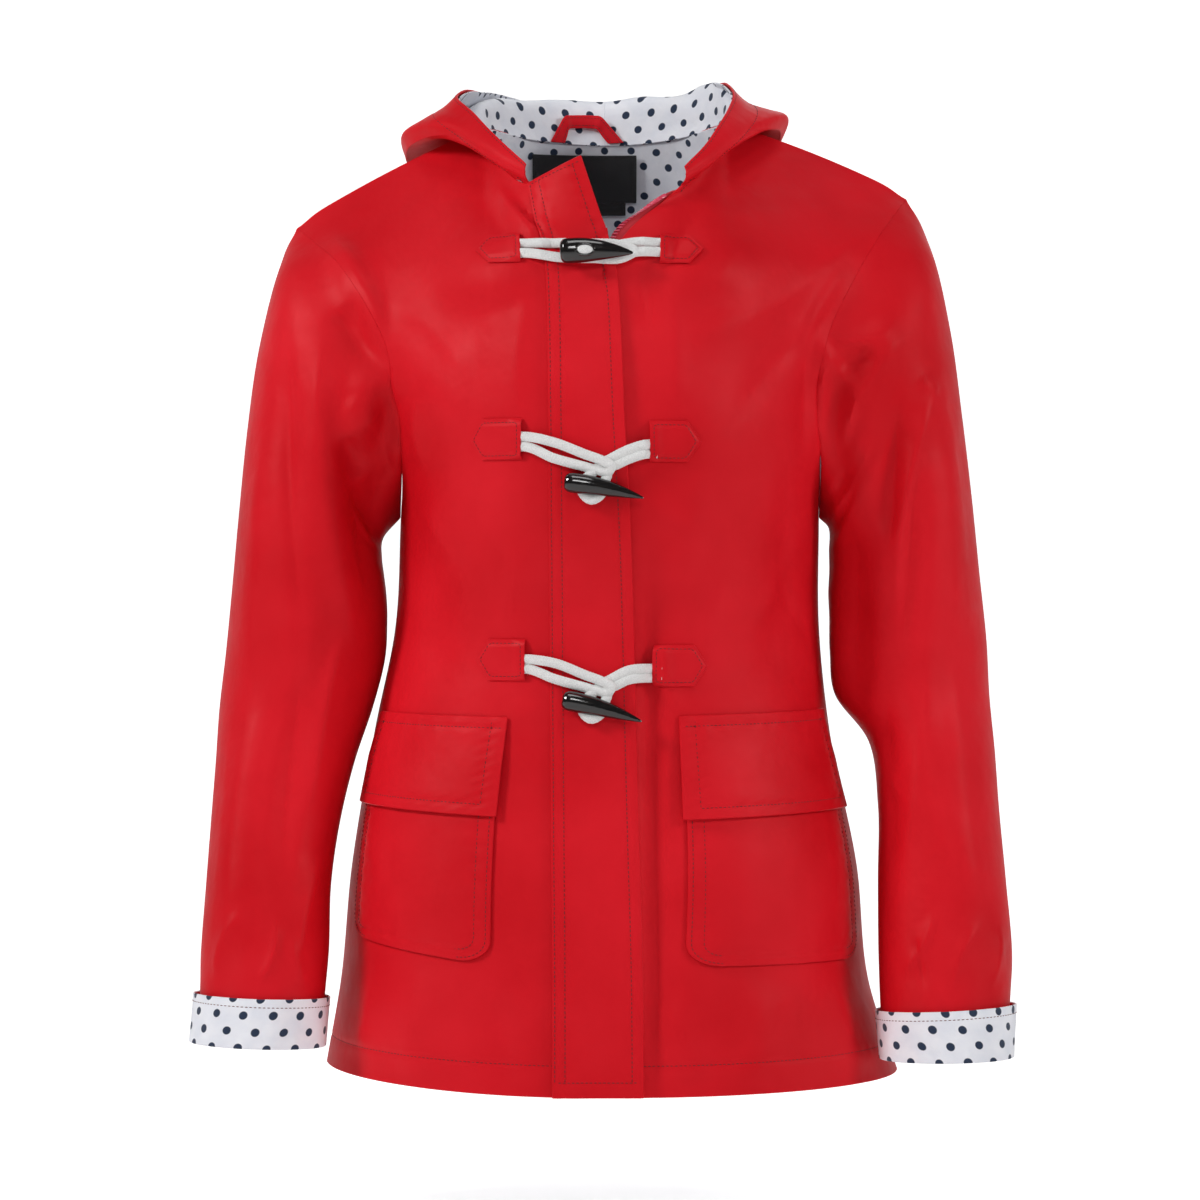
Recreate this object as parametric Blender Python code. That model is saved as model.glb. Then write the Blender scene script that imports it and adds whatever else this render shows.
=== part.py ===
"""Hooded rain slicker, filled out and held up at its shoulders, with each cut piece as one solid.

+X runs to the viewer's right, the front faces -Y, and the origin is the middle of the shoulder line.
Left and right are the viewer's. Every size here is in millimetres; solid() turns them into metres.
"""
import bpy
import numpy as np

METRE = 0.001
SHELL = 1.4                 # wall of the coated cloth
LINING = 1.0                # wall of the printed lining
TAPE = 1.0                  # wall of labels, loops and zip tapes
GAP = 0.3                   # between two pieces at a seam
LIFT = 0.5                  # from a curved panel to what is sewn on it
UNDERARM_EASE = 0.4         # each wall steps back this far where two lie back to back
HEM_HEIGHT = 635.0
LEFT, RIGHT = -1, 1

BODY_ROWS_BELOW, BODY_ROWS_ABOVE, PANEL_COLUMNS = 15, 9, 10
SLEEVE_ROWS, HOOD_COLUMNS, HOOD_ROWS_UNDER, HOOD_ROWS_OVER = 19, 11, 9, 6

SHELL_RED = ("slicker_coated_red", (0.66, 0.012, 0.022, 1.0), 0.36, 0.0)
TRIM_RED = ("slicker_trim_red", (0.62, 0.012, 0.022, 1.0), 0.42, 0.0)
TAPE_RED = ("slicker_tape_red", (0.55, 0.010, 0.025, 1.0), 0.75, 0.0)
LINING_WHITE = ("slicker_lining", (0.82, 0.83, 0.86, 1.0), 0.85, 0.0)
CORD_WHITE = ("slicker_cord", (0.80, 0.80, 0.78, 1.0), 0.9, 0.0)
HORN_BLACK = ("slicker_horn", (0.010, 0.010, 0.012, 1.0), 0.12, 0.0)
LABEL_BLACK = ("slicker_label", (0.012, 0.012, 0.014, 1.0), 0.7, 0.0)
METAL_RED = ("slicker_slider", (0.50, 0.02, 0.03, 1.0), 0.3, 0.6)


def table(columns, *rows):
    """Named columns of numbers, from rows written in the order of the names."""
    return dict(zip(columns.split(), np.array(rows, float).T))


# Height up the panels at which each row of the tables below lies, from the hem to the shoulder.
ROW_HEIGHTS = np.array([0, 60, 145, 245, 315, 395, 445, 495, 540, 590, HEM_HEIGHT], float)
ARMPIT_ROW = 5

# Side seams, a row per height from the hem to the armpit.
SIDE_SEAM = {
    LEFT: table("x y z",
                (-200, 0, -640), (-190, 0, -583), (-182, 0, -500),
                (-165, 0, -400), (-151, 2, -330), (-147, 5, -250)),
    RIGHT: table("x y z",
                 (210, 0, -646), (190, 0, -585), (181, 0, -500),
                 (161, 0, -400), (154, 2, -330), (154, 5, -250)),
}
# Armholes, a row per height above the armpit; turn is the angle in degrees of the panel there.
ARMHOLE_FRONT = {
    LEFT: table("x y z turn",
                (-144, -58, -208, 70), (-149, -77, -165, 60), (-155, -78, -126, 45),
                (-186, -52, -76, 30), (-224, 6, -39, 10)),
    RIGHT: table("x y z turn",
                 (152, -60, -205, 70), (149, -78, -155, 60), (161, -77, -112, 45),
                 (191, -48, -57, 30), (219, 6, -18, 10)),
}
ARMHOLE_BACK = {
    LEFT: table("x y z turn",
                (-149, 58, -208, 70), (-156, 76, -165, 60), (-164, 78, -126, 45),
                (-192, 56, -78, 30), (-224, 6, -39, 10)),
    RIGHT: table("x y z turn",
                 (156, 60, -205, 70), (156, 77, -155, 60), (168, 78, -112, 45),
                 (196, 54, -58, 30), (219, 6, -18, 10)),
}
# Middle edges: the front edges at the zip, and the middle of the back.
FRONT_MIDDLE = table("left_x right_x y z full",
                     (-4, 4, -152, -650, 0.60), (-4, 4, -149, -588, 0.60),
                     (-4, 4, -143, -502, 0.60), (-4, 4, -133, -400, 0.59),
                     (-4, 4, -131, -330, 0.58), (-4, 4, -147, -250, 0.58),
                     (-4, 4, -150, -205, 0.58), (-4, 4, -148, -155, 0.58),
                     (-4, 4, -142, -110, 0.58), (-8, 12, -130, -60, 0.55),
                     (-24, 54, -118, -6, 0.5))
BACK_MIDDLE = table("y z full",
                    (150, -648, 0.60), (143, -588, 0.60), (134, -502, 0.60),
                    (117, -400, 0.59), (111, -330, 0.58), (127, -250, 0.58),
                    (127, -205, 0.58), (122, -155, 0.58), (115, -110, 0.58),
                    (100, -55, 0.57), (66, 26, 0.5))
# Top edges, by share of the way from the middle edge to the shoulder point.
FRONT_TOP = {
    LEFT: table("share x y z",
                (0, -24, -118, -6), (0.11, -54, -100, -20), (0.19, -70, -72, -8),
                (0.27, -82, -38, 12), (0.36, -88, 0, 31), (1, -224, 6, -39)),
    RIGHT: table("share x y z",
                 (0, 54, -102, -22), (0.09, 66, -84, -12), (0.18, 76, -56, 5),
                 (0.27, 84, -28, 21), (0.36, 88, 0, 34), (1, 219, 6, -18)),
}
BACK_TOP = {
    LEFT: table("share x y z",
                (0, 0, 66, 26), (0.12, -30, 62, 27), (0.24, -60, 46, 29),
                (0.36, -88, 0, 31), (1, -224, 6, -39)),
    RIGHT: table("share x y z",
                 (0, 0, 66, 26), (0.12, 30, 62, 27), (0.24, 60, 46, 30),
                 (0.36, 88, 0, 34), (1, 219, 6, -18)),
}
NECK_SHARE = 0.36

# Sleeve sections below the armhole: centre, half sizes and the lean of the section in degrees.
SLEEVE_SECTIONS = {
    LEFT: table("x y z wide deep lean",
                (-197, 2, -168, 104, 74, 69), (-205, 0, -205, 86, 71, 59),
                (-208, -2, -240, 72, 68, 47), (-210, -4, -276, 61, 66, 30),
                (-212, -6, -312, 57, 64, 13), (-215, -9, -350, 57, 61, 3),
                (-221, -13, -385, 55, 58, 0),
                (-228.2, -24, -424.1, 49.6, 55, 0), (-234.2, -36, -466.1, 45.9, 52, 0),
                (-238, -50, -508.6, 44.2, 48, 0), (-239.9, -63, -559.6, 45, 44, 0),
                (-241.2, -71, -590.2, 43.9, 42, 2), (-243.6, -78, -618.7, 45.3, 40, 2)),
    RIGHT: table("x y z wide deep lean",
                 (198, 2, -158, 107, 74, 70), (205, 0, -196, 90, 71, 61),
                 (209, -2, -233, 74, 68, 50), (212, -4, -270, 62, 66, 34),
                 (215, -6, -306, 56, 64, 16), (217.5, -9, -343, 56.3, 61, 5),
                 (220, -13, -377, 55.3, 58, 0),
                 (233.1, -24, -413.2, 45.1, 55, -4), (237.1, -36, -456.2, 43, 52, -2),
                 (238.4, -50, -507.6, 45.2, 48, 0), (239.8, -63, -561.6, 47, 44, 0),
                 (239.1, -71, -598, 45.4, 42, 3), (239.5, -78, -628.5, 44.3, 40, 1)),
}
# Largest folds: a ridge (positive) or trough (negative) from one end to the other, as seen from
# the front (face 1) or from behind (face -1), in x and z; bow bends its line sideways.
FOLDS = table("face x1 z1 x2 z2 width height bow",
              (1, 206, -112, 172, -262, 15, 7, 12), (1, 190, -190, 166, -300, 11, 5, 6),
              (1, 236, -150, 208, -430, 17, 5, -8), (1, 160, -150, 176, -238, 10, -7, 4),
              (1, 172, -262, 178, -390, 12, -7, 0), (1, 222, -400, 262, -520, 14, 4, 6),
              (1, -196, -58, -158, -146, 11, 5, -5), (1, -168, -150, -178, -208, 12, 6, -4),
              (1, -152, -165, -160, -238, 10, -8, 0), (1, -198, -150, -180, -330, 14, 6, 8),
              (1, -226, -210, -214, -420, 15, 5, -6), (1, -190, -330, -232, -500, 13, -4, 5),
              (1, 168, -70, 70, -128, 20, 3.5, 6), (1, -150, -110, -90, -190, 18, 3, 5),
              (1, 138, -250, 118, -372, 16, -3.5, 5), (1, -132, -262, -116, -372, 16, -3.5, -5),
              (-1, 200, -110, 176, -270, 15, 6, 10), (-1, -206, -118, -180, -280, 15, 6, -10),
              (-1, 232, -180, 214, -420, 16, 5, 6), (-1, -230, -190, -214, -430, 16, 5, -6),
              (-1, 70, -250, 92, -420, 24, -5, 8), (-1, -64, -262, -86, -430, 24, -5, -8),
              (-1, 10, -300, -6, -520, 22, 4, 6), (-1, 120, -400, 140, -610, 26, 4, 6),
              (-1, -118, -410, -142, -600, 26, 4, -6))

# Storm flap over the zip, from its top to the hem: the seam side, the free edge, and how far it
# stands off the panels.
PLACKET = table("seam_x edge_x seam_z edge_z out",
                (-53, -17, -20, -3, 4), (-48, -4.5, -48, -41, 2), (-43, 2, -66, -60, 0.9),
                (-40, 9, -98, -98, 0.4), (-38.5, 13, -186, -186, 0.4), (-38, 18, -282, -282, 0.4),
                (-37, 22, -446, -446, 0.4), (-36, 25, -560, -560, 0.4), (-36, 26, -647, -646, 0.4))

# Patch pockets and their flaps: corners as seen from the front, round from the top left.
POCKETS = {
    LEFT: table("x z", (-164, -434), (-75, -441), (-79, -560), (-176, -545)),
    RIGHT: table("x z", (56, -441), (161, -436), (177, -562), (55, -561)),
}
FLAPS = {
    LEFT: table("x z", (-157, -389), (-67, -391), (-74, -459), (-169, -453)),
    RIGHT: table("x z", (51, -390), (153, -387), (166, -457), (53, -461)),
}
POCKET_CORNER = 15.0
FLAP_RISE = SHELL + 3 * GAP

# Toggle fastenings from the top down: the patches, where the cords cross, and the toggle's ends.
TOGGLES = table("left_tip left_in left_z right_in right_tip right_z tall cross_x cross_z "
                "butt_x butt_z tip_x tip_z half seat",
                (-89, -58, -67, 37.5, 67, -68, 19.5, -4, -70, -31, -71, 19, -72, 8.8, 2.2),
                (-93, -57, -199, 30.5, 65, -201, 27.5, -1, -217, -28, -229, 26, -240, 6.9, 6.5),
                (-89, -55, -351, 34.5, 70, -355, 28, -1, -368, -29.5, -378, 25, -393, 6.9, 6.6))
TOGGLE_PLACES = ("top", "middle", "bottom")
TOGGLE_DEEP = 6.2
TOGGLE_SHAPE = table("way size", (0, 0.55), (0.03, 0.86), (0.10, 1.0), (0.35, 0.97), (0.6, 0.74),
                     (0.8, 0.46), (0.94, 0.22), (1, 0.10))
PATCH_POINT, PATCH_TIP = 9.0, 1.2
CORD_RADIUS = 2.4
PLACKET_OFF = 2 * LIFT + SHELL + 0.6      # from the panels to what rests on the storm flap
PLACKET_SEAM_X, PLACKET_EDGE_X = -39.0, 22.0

CUFF_HEIGHT, CUFF_FLARE, CUFF_WALL = 39.0, 1.6, 1.6

# Hood laid back round the neck seam, by share of the seam from the left front end to the right.
# rise and lean: the fold above the seam; reach and drop: the lowest line of the bag; swell: how
# far the outer wall bulges; then the rim.
HOOD_SECTIONS = table("share rise lean reach drop swell rim_out rim_up",
                      (0.00, 1, 1, 4, 6, 0, 2, 14), (0.07, 2, 3, 13, 8, 0, 6, 22),
                      (0.14, 3, 4, 22, 7, 1, 12, 26), (0.21, 6, 5, 43, -4, 2, 19, 28),
                      (0.27, 8, 3, 62, -23, 3, 9, 27), (0.36, 17, 5, 66, -56, 7, 20, 33),
                      (0.43, 25, 8, 66, -112, 11, 30, 30), (0.50, 28, 10, 66, -150, 13, 38, 21),
                      (0.57, 26, 8, 66, -112, 11, 30, 33), (0.64, 19, 5, 60, -52, 5, 17, 39),
                      (0.73, 8, 2, 42, -11, 0, -3, 29), (0.79, 6, 4, 35, 0, 1, 6, 29),
                      (0.86, 3, 4, 22, 7, 0, 8, 26), (0.93, 2, 3, 13, 8, 0, 6, 22),
                      (1.00, 1, 1, 5, 6, 0, 2, 14))
HOOD_FOLD, HOOD_BEND, HOOD_SEAM_LIFT, HOOD_ARC_RISE = 7.0, 11.0, 0.9, 3.0
HOOD_CLEARANCE, HOOD_REACH = 2.2, 30.0
HOOD_LOWEST, HOOD_SMOOTHING = 5, 2      # its lowest point, and how often its lift is smoothed
HOOD_FULL, HOOD_LEAST, HOOD_END = 25.0, 0.4, 0.04
LINING_EASE = 1.1             # how far the lining is short of the hood's lowest bend
HOOD_CENTRE = np.array([0, -18.0, 0])

# Inside the neck: label, size tab and hanger loop, as seen from the front.
LABEL = table("x z", (-53, 17), (23, 17), (23, -16), (-53, -16))
SIZE_TAB = table("x z", (-6, -16.6), (15, -16.6), (15, -25), (-6, -25))
HANGER = table("outer_x outer_z inner_x inner_z", (-40, 25.5, -30, 25.5), (-29.5, 45.5, -26.5, 37),
               (-16, 46, -16, 37.5), (-3, 45.5, -6, 37), (14, 25.5, 3, 25.5))
HANGER_FRONT, HANGER_WALL = 4.2, 1.4
NECK_LINING_ROWS, NECK_LINING_COLUMNS = 6, 6

# Zip: tapes behind the front edges and the slider where they meet.
ZIP_SHARE, ZIP_BEYOND, ZIP_FOOT, ZIP_GAP = 0.04, 3.0, 10.0, 0.4
SLIDER_WIDE, SLIDER_TALL, SLIDER_DEEP, SLIDER_Z = 6.2, 11.0, 1.7, -76.0


def along(knots, values, at):
    """Smooth cubic through values at the knots, read at each place in at; values are (knot, point, axis)."""
    slopes = np.gradient(values, knots, axis=0)
    index = np.clip(np.searchsorted(knots, at, side="right") - 1, 0, len(knots) - 2)
    step = knots[index + 1] - knots[index]
    t = ((at - knots[index]) / step)[:, None]
    point = np.arange(len(at))
    low, high = values[index, point], values[index + 1, point]
    low_slope = slopes[index, point] * step[:, None]
    high_slope = slopes[index + 1, point] * step[:, None]
    return ((2 * t**3 - 3 * t**2 + 1) * low + (t**3 - 2 * t**2 + t) * low_slope
            + (3 * t**2 - 2 * t**3) * high + (t**3 - t**2) * high_slope)


def curve(knots, values, at):
    """One smooth curve through values (knot, axis), read at each place in at."""
    at = np.asarray(at, float)
    knots, values = np.asarray(knots, float), np.asarray(values, float)
    return along(knots, np.repeat(values[:, None], len(at), axis=1), at)


def columns(rows, *names):
    """The named columns side by side, as one array with a row per table row."""
    return np.stack([rows[name] for name in names], axis=1)


def unit(vectors):
    """The vectors at length one."""
    return vectors / np.maximum(np.linalg.norm(vectors, axis=-1, keepdims=True), 1e-9)


def edge_rows(side, back):
    """The panel's outer edge, the side seam and then the armhole, and its turn, a row per height."""
    seam = SIDE_SEAM[side]
    armhole = (ARMHOLE_BACK if back else ARMHOLE_FRONT)[side]
    edge = np.concatenate([columns(seam, "x", "y", "z"), columns(armhole, "x", "y", "z")])
    turn = np.concatenate([np.full(len(seam["x"]), 90.0), armhole["turn"]])
    return edge, np.radians(turn)


def top_edge(side, back, share):
    """The neck edge, a smooth curve, and then the straight shoulder seam."""
    top = (BACK_TOP if back else FRONT_TOP)[side]
    points = columns(top, "x", "y", "z")
    neck = curve(top["share"][:-1], points[:-1], np.minimum(share, NECK_SHARE))
    way = np.clip((share - NECK_SHARE) / (1 - NECK_SHARE), 0, 1)[:, None]
    crown = 3.0 * np.sin(np.pi * way) * np.array([0, 0, 1.0])
    shoulder = points[-2] + (points[-1] - points[-2]) * way + crown
    return np.where(share[:, None] > NECK_SHARE, shoulder, neck)


def panel_rows(side, back, share):
    """Every row curve of the panel at these shares of its width, (row, point, axis)."""
    edge, turn = edge_rows(side, back)
    rows = BACK_MIDDLE if back else FRONT_MIDDLE
    middle_x = np.zeros(len(edge)) if back else rows["left_x" if side == LEFT else "right_x"]
    middle = np.stack([middle_x, rows["y"], rows["z"]], axis=1)
    span = edge - middle
    near = middle + np.stack([rows["full"] * span[:, 0], 0 * middle_x, 0 * middle_x], axis=1)
    bend = np.stack([np.cos(turn) * span[:, 0], np.sin(turn) * span[:, 1], 0 * turn], axis=1)
    far = edge - rows["full"][:, None] * bend
    t = share[None, :, None]
    made = ((1 - t)**3 * middle[:, None] + 3 * t * (1 - t)**2 * near[:, None]
            + 3 * t**2 * (1 - t) * far[:, None] + t**3 * edge[:, None])
    made[-1] = top_edge(side, back, share)
    return made


def plain_panel(side, back):
    """The unfolded panel as a function of share of width and height above the hem.

    Its outer edge turns a corner at the armpit, where the side seam meets the armhole.
    """
    low, high = slice(None, ARMPIT_ROW + 1), slice(ARMPIT_ROW, None)

    def at(share, height):
        rows = panel_rows(side, back, share)
        smooth = along(ROW_HEIGHTS, rows, height)
        under = along(ROW_HEIGHTS[low], rows[low], height)
        over = along(ROW_HEIGHTS[high], rows[high], height)
        cornered = np.where(height[:, None] <= ROW_HEIGHTS[ARMPIT_ROW], under, over)
        return smooth + (cornered - smooth) * share[:, None]**3
    return at


def armhole_loop(side, share):
    """Points round the armhole: share 0 at the shoulder, 0 to 1 down the front, 1 to 2 up the back."""
    front, back = plain_panel(side, False), plain_panel(side, True)
    armpit = ROW_HEIGHTS[ARMPIT_ROW]
    down = np.where(share <= 1, share, 2 - share)
    height = HEM_HEIGHT - down * (HEM_HEIGHT - armpit)
    ones = np.ones(len(share))
    return np.where(share[:, None] <= 1, front(ones, height), back(ones, height))


def plain_sleeve(side):
    """The unfolded sleeve as a function of share round it (0 to 2) and share of its length."""
    rows = SLEEVE_SECTIONS[side]
    fine = np.linspace(0, 2, 201)
    loop = armhole_loop(side, fine)
    walked = np.concatenate([[0], np.cumsum(np.linalg.norm(np.diff(loop, axis=0), axis=1))])
    half = walked[100]
    turned = np.where(fine <= 1, walked / half, 1 + (walked - half) / (walked[-1] - half))
    centre = columns(rows, "x", "y", "z")
    lean = np.radians(rows["lean"])
    across = np.stack([side * np.cos(lean), 0 * lean, np.sin(lean)], axis=1)

    def at(share, length):
        angle = np.pi * np.interp(share, fine, turned)
        wide = rows["wide"][:, None, None] * across[:, None] * np.cos(angle)[None, :, None]
        deep = rows["deep"][:, None, None] * np.sin(angle)[None, :, None] * np.array([0, -1.0, 0])
        rings = np.concatenate([armhole_loop(side, share)[None], centre[:, None] + wide + deep])
        steps = np.linalg.norm(np.diff(rings.mean(axis=1), axis=0), axis=1)
        knots = np.concatenate([[0], np.cumsum(steps)])
        return along(knots / knots[-1], rings, length)
    return at


def normals_of(function, outward):
    """Unit normals of a surface function, facing the way that outward (+1 or -1) picks."""
    def at(first, second, steps=(1e-3, 1e-3)):
        d1 = function(first + steps[0], second) - function(first - steps[0], second)
        d2 = function(first, second + steps[1]) - function(first, second - steps[1])
        return outward * unit(np.cross(d1, d2))
    return at


def fold_heights(points, facing):
    """How far each fold lifts the points, fading where the cloth turns away from the fold's face."""
    height = np.zeros(len(points))
    for face, x1, z1, x2, z2, width, tall, bow in zip(*FOLDS.values()):
        start, way = np.array([x1, z1]), np.array([x2 - x1, z2 - z1])
        length = np.hypot(*way)
        off = points[:, [0, 2]] - start
        t = off @ way / length**2
        beside = (off[:, 0] * way[1] - off[:, 1] * way[0]) / length - 4 * bow * t * (1 - t)
        seen = np.clip((-face * facing[:, 1] - 0.1) / 0.5, 0, 1)
        height += tall * np.exp(-(beside / width)**2 - ((t - 0.5) / 0.42)**4) * seen**2
    return height


def folded(points, normals):
    """The points moved along their normals by the folds."""
    return points + normals * fold_heights(points, normals)[:, None]


def grid_normals(grid, wraps):
    """Vertex normals of a grid of points (row, column, axis), from its own neighbours."""
    if wraps:
        across = np.roll(grid, -1, axis=1) - np.roll(grid, 1, axis=1)
    else:
        across = np.gradient(grid, axis=1)
    return unit(np.cross(across, np.gradient(grid, axis=0)))


def share_seams(grids, normals):
    """Average the normals of grid points that several panels share, so that their walls mitre.

    Where two panels meet back to back, as under the arm, each keeps its own normal. The second
    list holds how alike the two are, from 0 to 1, for each point.
    """
    points = np.concatenate([g.reshape(-1, 3) for g in grids])
    facing = np.concatenate([n.reshape(-1, 3) for n in normals])
    _, same = np.unique(np.round(points, 3), axis=0, return_inverse=True)
    same = same.reshape(-1)
    total = np.zeros((same.max() + 1, 3))
    np.add.at(total, same, facing)
    averaged = unit(total[same])
    alike = np.clip((np.einsum("ij,ij->i", facing, averaged) - 0.5) / 0.3, 0, 1)[:, None]
    ends = np.cumsum([0] + [g.shape[0] * g.shape[1] for g in grids])
    cut = [(averaged[a:b].reshape(g.shape), alike[a:b].reshape(g.shape[:2] + (1,)))
           for a, b, g in zip(ends, ends[1:], grids)]
    return [normal for normal, _ in cut], [share for _, share in cut]


def trimmed(grid, wraps, gap):
    """The grid with its free edges drawn in by the gap, along the cloth."""
    grid = grid.copy()
    pull = [(0, 1), (-1, -2)]
    for edge, inner in pull:
        grid[edge] += unit(grid[inner] - grid[edge]) * gap
    if not wraps:
        for edge, inner in pull:
            grid[:, edge] += unit(grid[:, inner] - grid[:, edge]) * gap
    return grid


def halves(face):
    """Four-sided faces as triangles, all split the same way."""
    return np.concatenate([face[:, [0, 1, 2]], face[:, [0, 2, 3]]])


def wall_mesh(outer, inner, wraps=False):
    """Points and triangles of the closed wall between two grids of the same shape."""
    rows, count = outer.shape[:2]
    index = np.arange(rows * count).reshape(rows, count)
    if wraps:
        index = np.concatenate([index, index[:, :1]], axis=1)
    low, right = index[:-1, :-1], index[:-1, 1:]
    up, corner = index[1:, :-1], index[1:, 1:]
    face = halves(np.stack([low, right, corner, up], axis=-1).reshape(-1, 4))
    under = face[:, ::-1] + rows * count
    edges = [index[0], index[-1, ::-1]]
    if not wraps:
        edges += [index[::-1, 0], index[:, -1]]
    rims = [halves(np.stack([e[1:], e[:-1], e[:-1] + rows * count, e[1:] + rows * count], -1))
            for e in edges]
    points = np.concatenate([outer.reshape(-1, 3), inner.reshape(-1, 3)])
    return points, np.concatenate([face, under] + rims)


def facing_out(points, faces):
    """The triangles, turned round where the closed mesh would be inside out."""
    a, b, c = (points[faces[:, i]] for i in range(3))
    return faces if np.einsum("ij,ij->i", a, np.cross(b, c)).sum() > 0 else faces[:, ::-1]


def material(finish):
    """The named surface, made once."""
    name, colour, roughness, metallic = finish
    if name in bpy.data.materials:
        return bpy.data.materials[name]
    made = bpy.data.materials.new(name)
    made.use_nodes = True
    shader = made.node_tree.nodes["Principled BSDF"]
    shader.inputs["Base Color"].default_value = colour
    shader.inputs["Roughness"].default_value = roughness
    shader.inputs["Metallic"].default_value = metallic
    return made


def solid(name, points, faces, finish):
    """One named object from millimetre points and triangles."""
    mesh = bpy.data.meshes.new(name)
    mesh.from_pydata((points * METRE).tolist(), [], facing_out(points, faces).tolist())
    mesh.validate()
    mesh.update()
    mesh.materials.append(material(finish))
    made = bpy.data.objects.new(name, mesh)
    bpy.context.scene.collection.objects.link(made)
    return made


def sheet(name, outer, facing, finish, lift, wall, wraps=False):
    """A wall that starts lift outside the grid and is so thick, going outward along facing."""
    low, high = outer + facing * lift, outer + facing * (lift + wall)
    solid(name, *wall_mesh(high, low, wraps), finish)


def main_grids():
    """The five large panels as grids of outer points, sharing the points of their seams."""
    armpit = ROW_HEIGHTS[ARMPIT_ROW]
    below = np.linspace(0, armpit, BODY_ROWS_BELOW)
    above = np.linspace(armpit, HEM_HEIGHT, BODY_ROWS_ABOVE + 1)
    heights = np.concatenate([below, above[1:]])
    shares = np.concatenate([[0], np.linspace(ZIP_SHARE, 1, PANEL_COLUMNS)])
    share, height = (g.ravel() for g in np.meshgrid(shares, heights))
    shape = (len(heights), len(shares), 3)
    grids = {}
    for side, name in ((LEFT, "left"), (RIGHT, "right")):
        grids["front_" + name] = plain_panel(side, False)(share, height).reshape(shape)
    back = [plain_panel(side, True)(share, height).reshape(shape) for side in (LEFT, RIGHT)]
    grids["back"] = np.concatenate([back[0][:, ::-1], back[1][:, 1:]], axis=1)
    around = np.linspace(0, 2, 2 * BODY_ROWS_ABOVE + 1)[:-1]
    lengths = np.concatenate([[0, 0.02], np.linspace(0.06, 1, SLEEVE_ROWS - 1)])
    share, length = (g.ravel() for g in np.meshgrid(around, lengths))
    for side, name in ((LEFT, "left"), (RIGHT, "right")):
        made = plain_sleeve(side)(share, length)
        grids["sleeve_" + name] = made.reshape(len(lengths), len(around), 3)
    return grids


def away_from_axis(grid, facing):
    """The facing, turned round if it points into the tube or body that the grid wraps."""
    centre = grid.reshape(-1, 3).mean(axis=0) * np.array([1, 0, 1]) + np.array([0, 0, 0])
    outward = grid - centre
    outward[..., 2] = 0
    return facing if (outward * facing).sum() > 0 else -facing


def main_panels():
    """Folded grids and mitred outward normals of the five large panels, by name."""
    grids = main_grids()
    names = list(grids)
    wraps = [name.startswith("sleeve") for name in names]

    def facings(plain):
        own = [away_from_axis(g, grid_normals(g, w)) for g, w in zip(plain, wraps)]
        body = wraps.count(False)
        own[:body] = share_seams(plain[:body], own[:body])[0]
        averaged, alike = share_seams(plain, own)
        return [unit(m * a + n * (1 - a)) for m, n, a in zip(averaged, own, alike)], alike

    plain = [grids[name] for name in names]
    facing, alike = facings(plain)
    creased = [folded(g.reshape(-1, 3), (n * (a > 0.99)).reshape(-1, 3)).reshape(g.shape)
               for g, n, a in zip(plain, facing, alike)]
    facing, alike = facings(creased)
    eased = [g - n * np.minimum(1, 3 * (1 - a)) * UNDERARM_EASE
             for g, n, a in zip(creased, facing, alike)]
    return {name: (g, n) for name, g, n in zip(names, eased, facing)}


def build_main(panels):
    """The two fronts, the back and the two sleeves."""
    for name, (grid, facing) in panels.items():
        wraps = name.startswith("sleeve")
        outer = trimmed(grid, wraps, GAP / 2)
        sheet(name, outer, facing, SHELL_RED, -SHELL, SHELL, wraps)


def skin(side, back=False):
    """The folded panel surface and its outward normals, as two functions of share and height."""
    plain = plain_panel(side, back)
    steps = (1e-3, 0.5)
    outward = -side if back else side
    plain_normal = normals_of(plain, outward)

    def at(share, height):
        points = plain(share, height)
        return folded(points, plain_normal(share, height, steps))
    folded_normal = normals_of(at, outward)
    return at, lambda share, height: folded_normal(share, height, steps)


def locate(at, x, z):
    """Share and height of the places on a panel that show at x and z from the front."""
    shares, heights = (g.ravel() for g in np.meshgrid(np.linspace(0, 1, 61),
                                                      np.linspace(0, HEM_HEIGHT, 161)))
    sample = at(shares, heights)
    x, z = np.asarray(x, float), np.asarray(z, float)
    far = (sample[None, :, 0] - x[:, None])**2 + (sample[None, :, 2] - z[:, None])**2
    share, height = shares[far.argmin(axis=1)], heights[far.argmin(axis=1)]
    for _ in range(5):
        here = at(share, height)[:, [0, 2]]
        by_share = (at(share + 1e-3, height)[:, [0, 2]] - here) / 1e-3
        by_height = (at(share, height + 0.5)[:, [0, 2]] - here) / 0.5
        off = np.stack([x, z], axis=1) - here
        scale = by_share[:, 0] * by_height[:, 1] - by_share[:, 1] * by_height[:, 0]
        share = share + (off[:, 0] * by_height[:, 1] - off[:, 1] * by_height[:, 0]) / scale
        height = height + (by_share[:, 0] * off[:, 1] - by_share[:, 1] * off[:, 0]) / scale
        share, height = np.clip(share, 0, 1), np.clip(height, 0, HEM_HEIGHT)
    return share, height


def corner_blend(corners, across, down):
    """Places between four corners, given round from the first, by share across and down."""
    a, b, c, d = corners
    return (a * (1 - across) * (1 - down) + b * across * (1 - down)
            + c * across * down + d * (1 - across) * down)


def on_front(side, corners, across, down):
    """Points and outward normals on a front panel inside four corners, as grids."""
    at, normal = skin(side)
    share, height = locate(at, corners["x"], corners["z"])
    shares, heights = corner_blend(share, across, down), corner_blend(height, across, down)
    shape = across.shape + (3,)
    place = shares.ravel(), heights.ravel()
    return at(*place).reshape(shape), normal(*place).reshape(shape)


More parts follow.
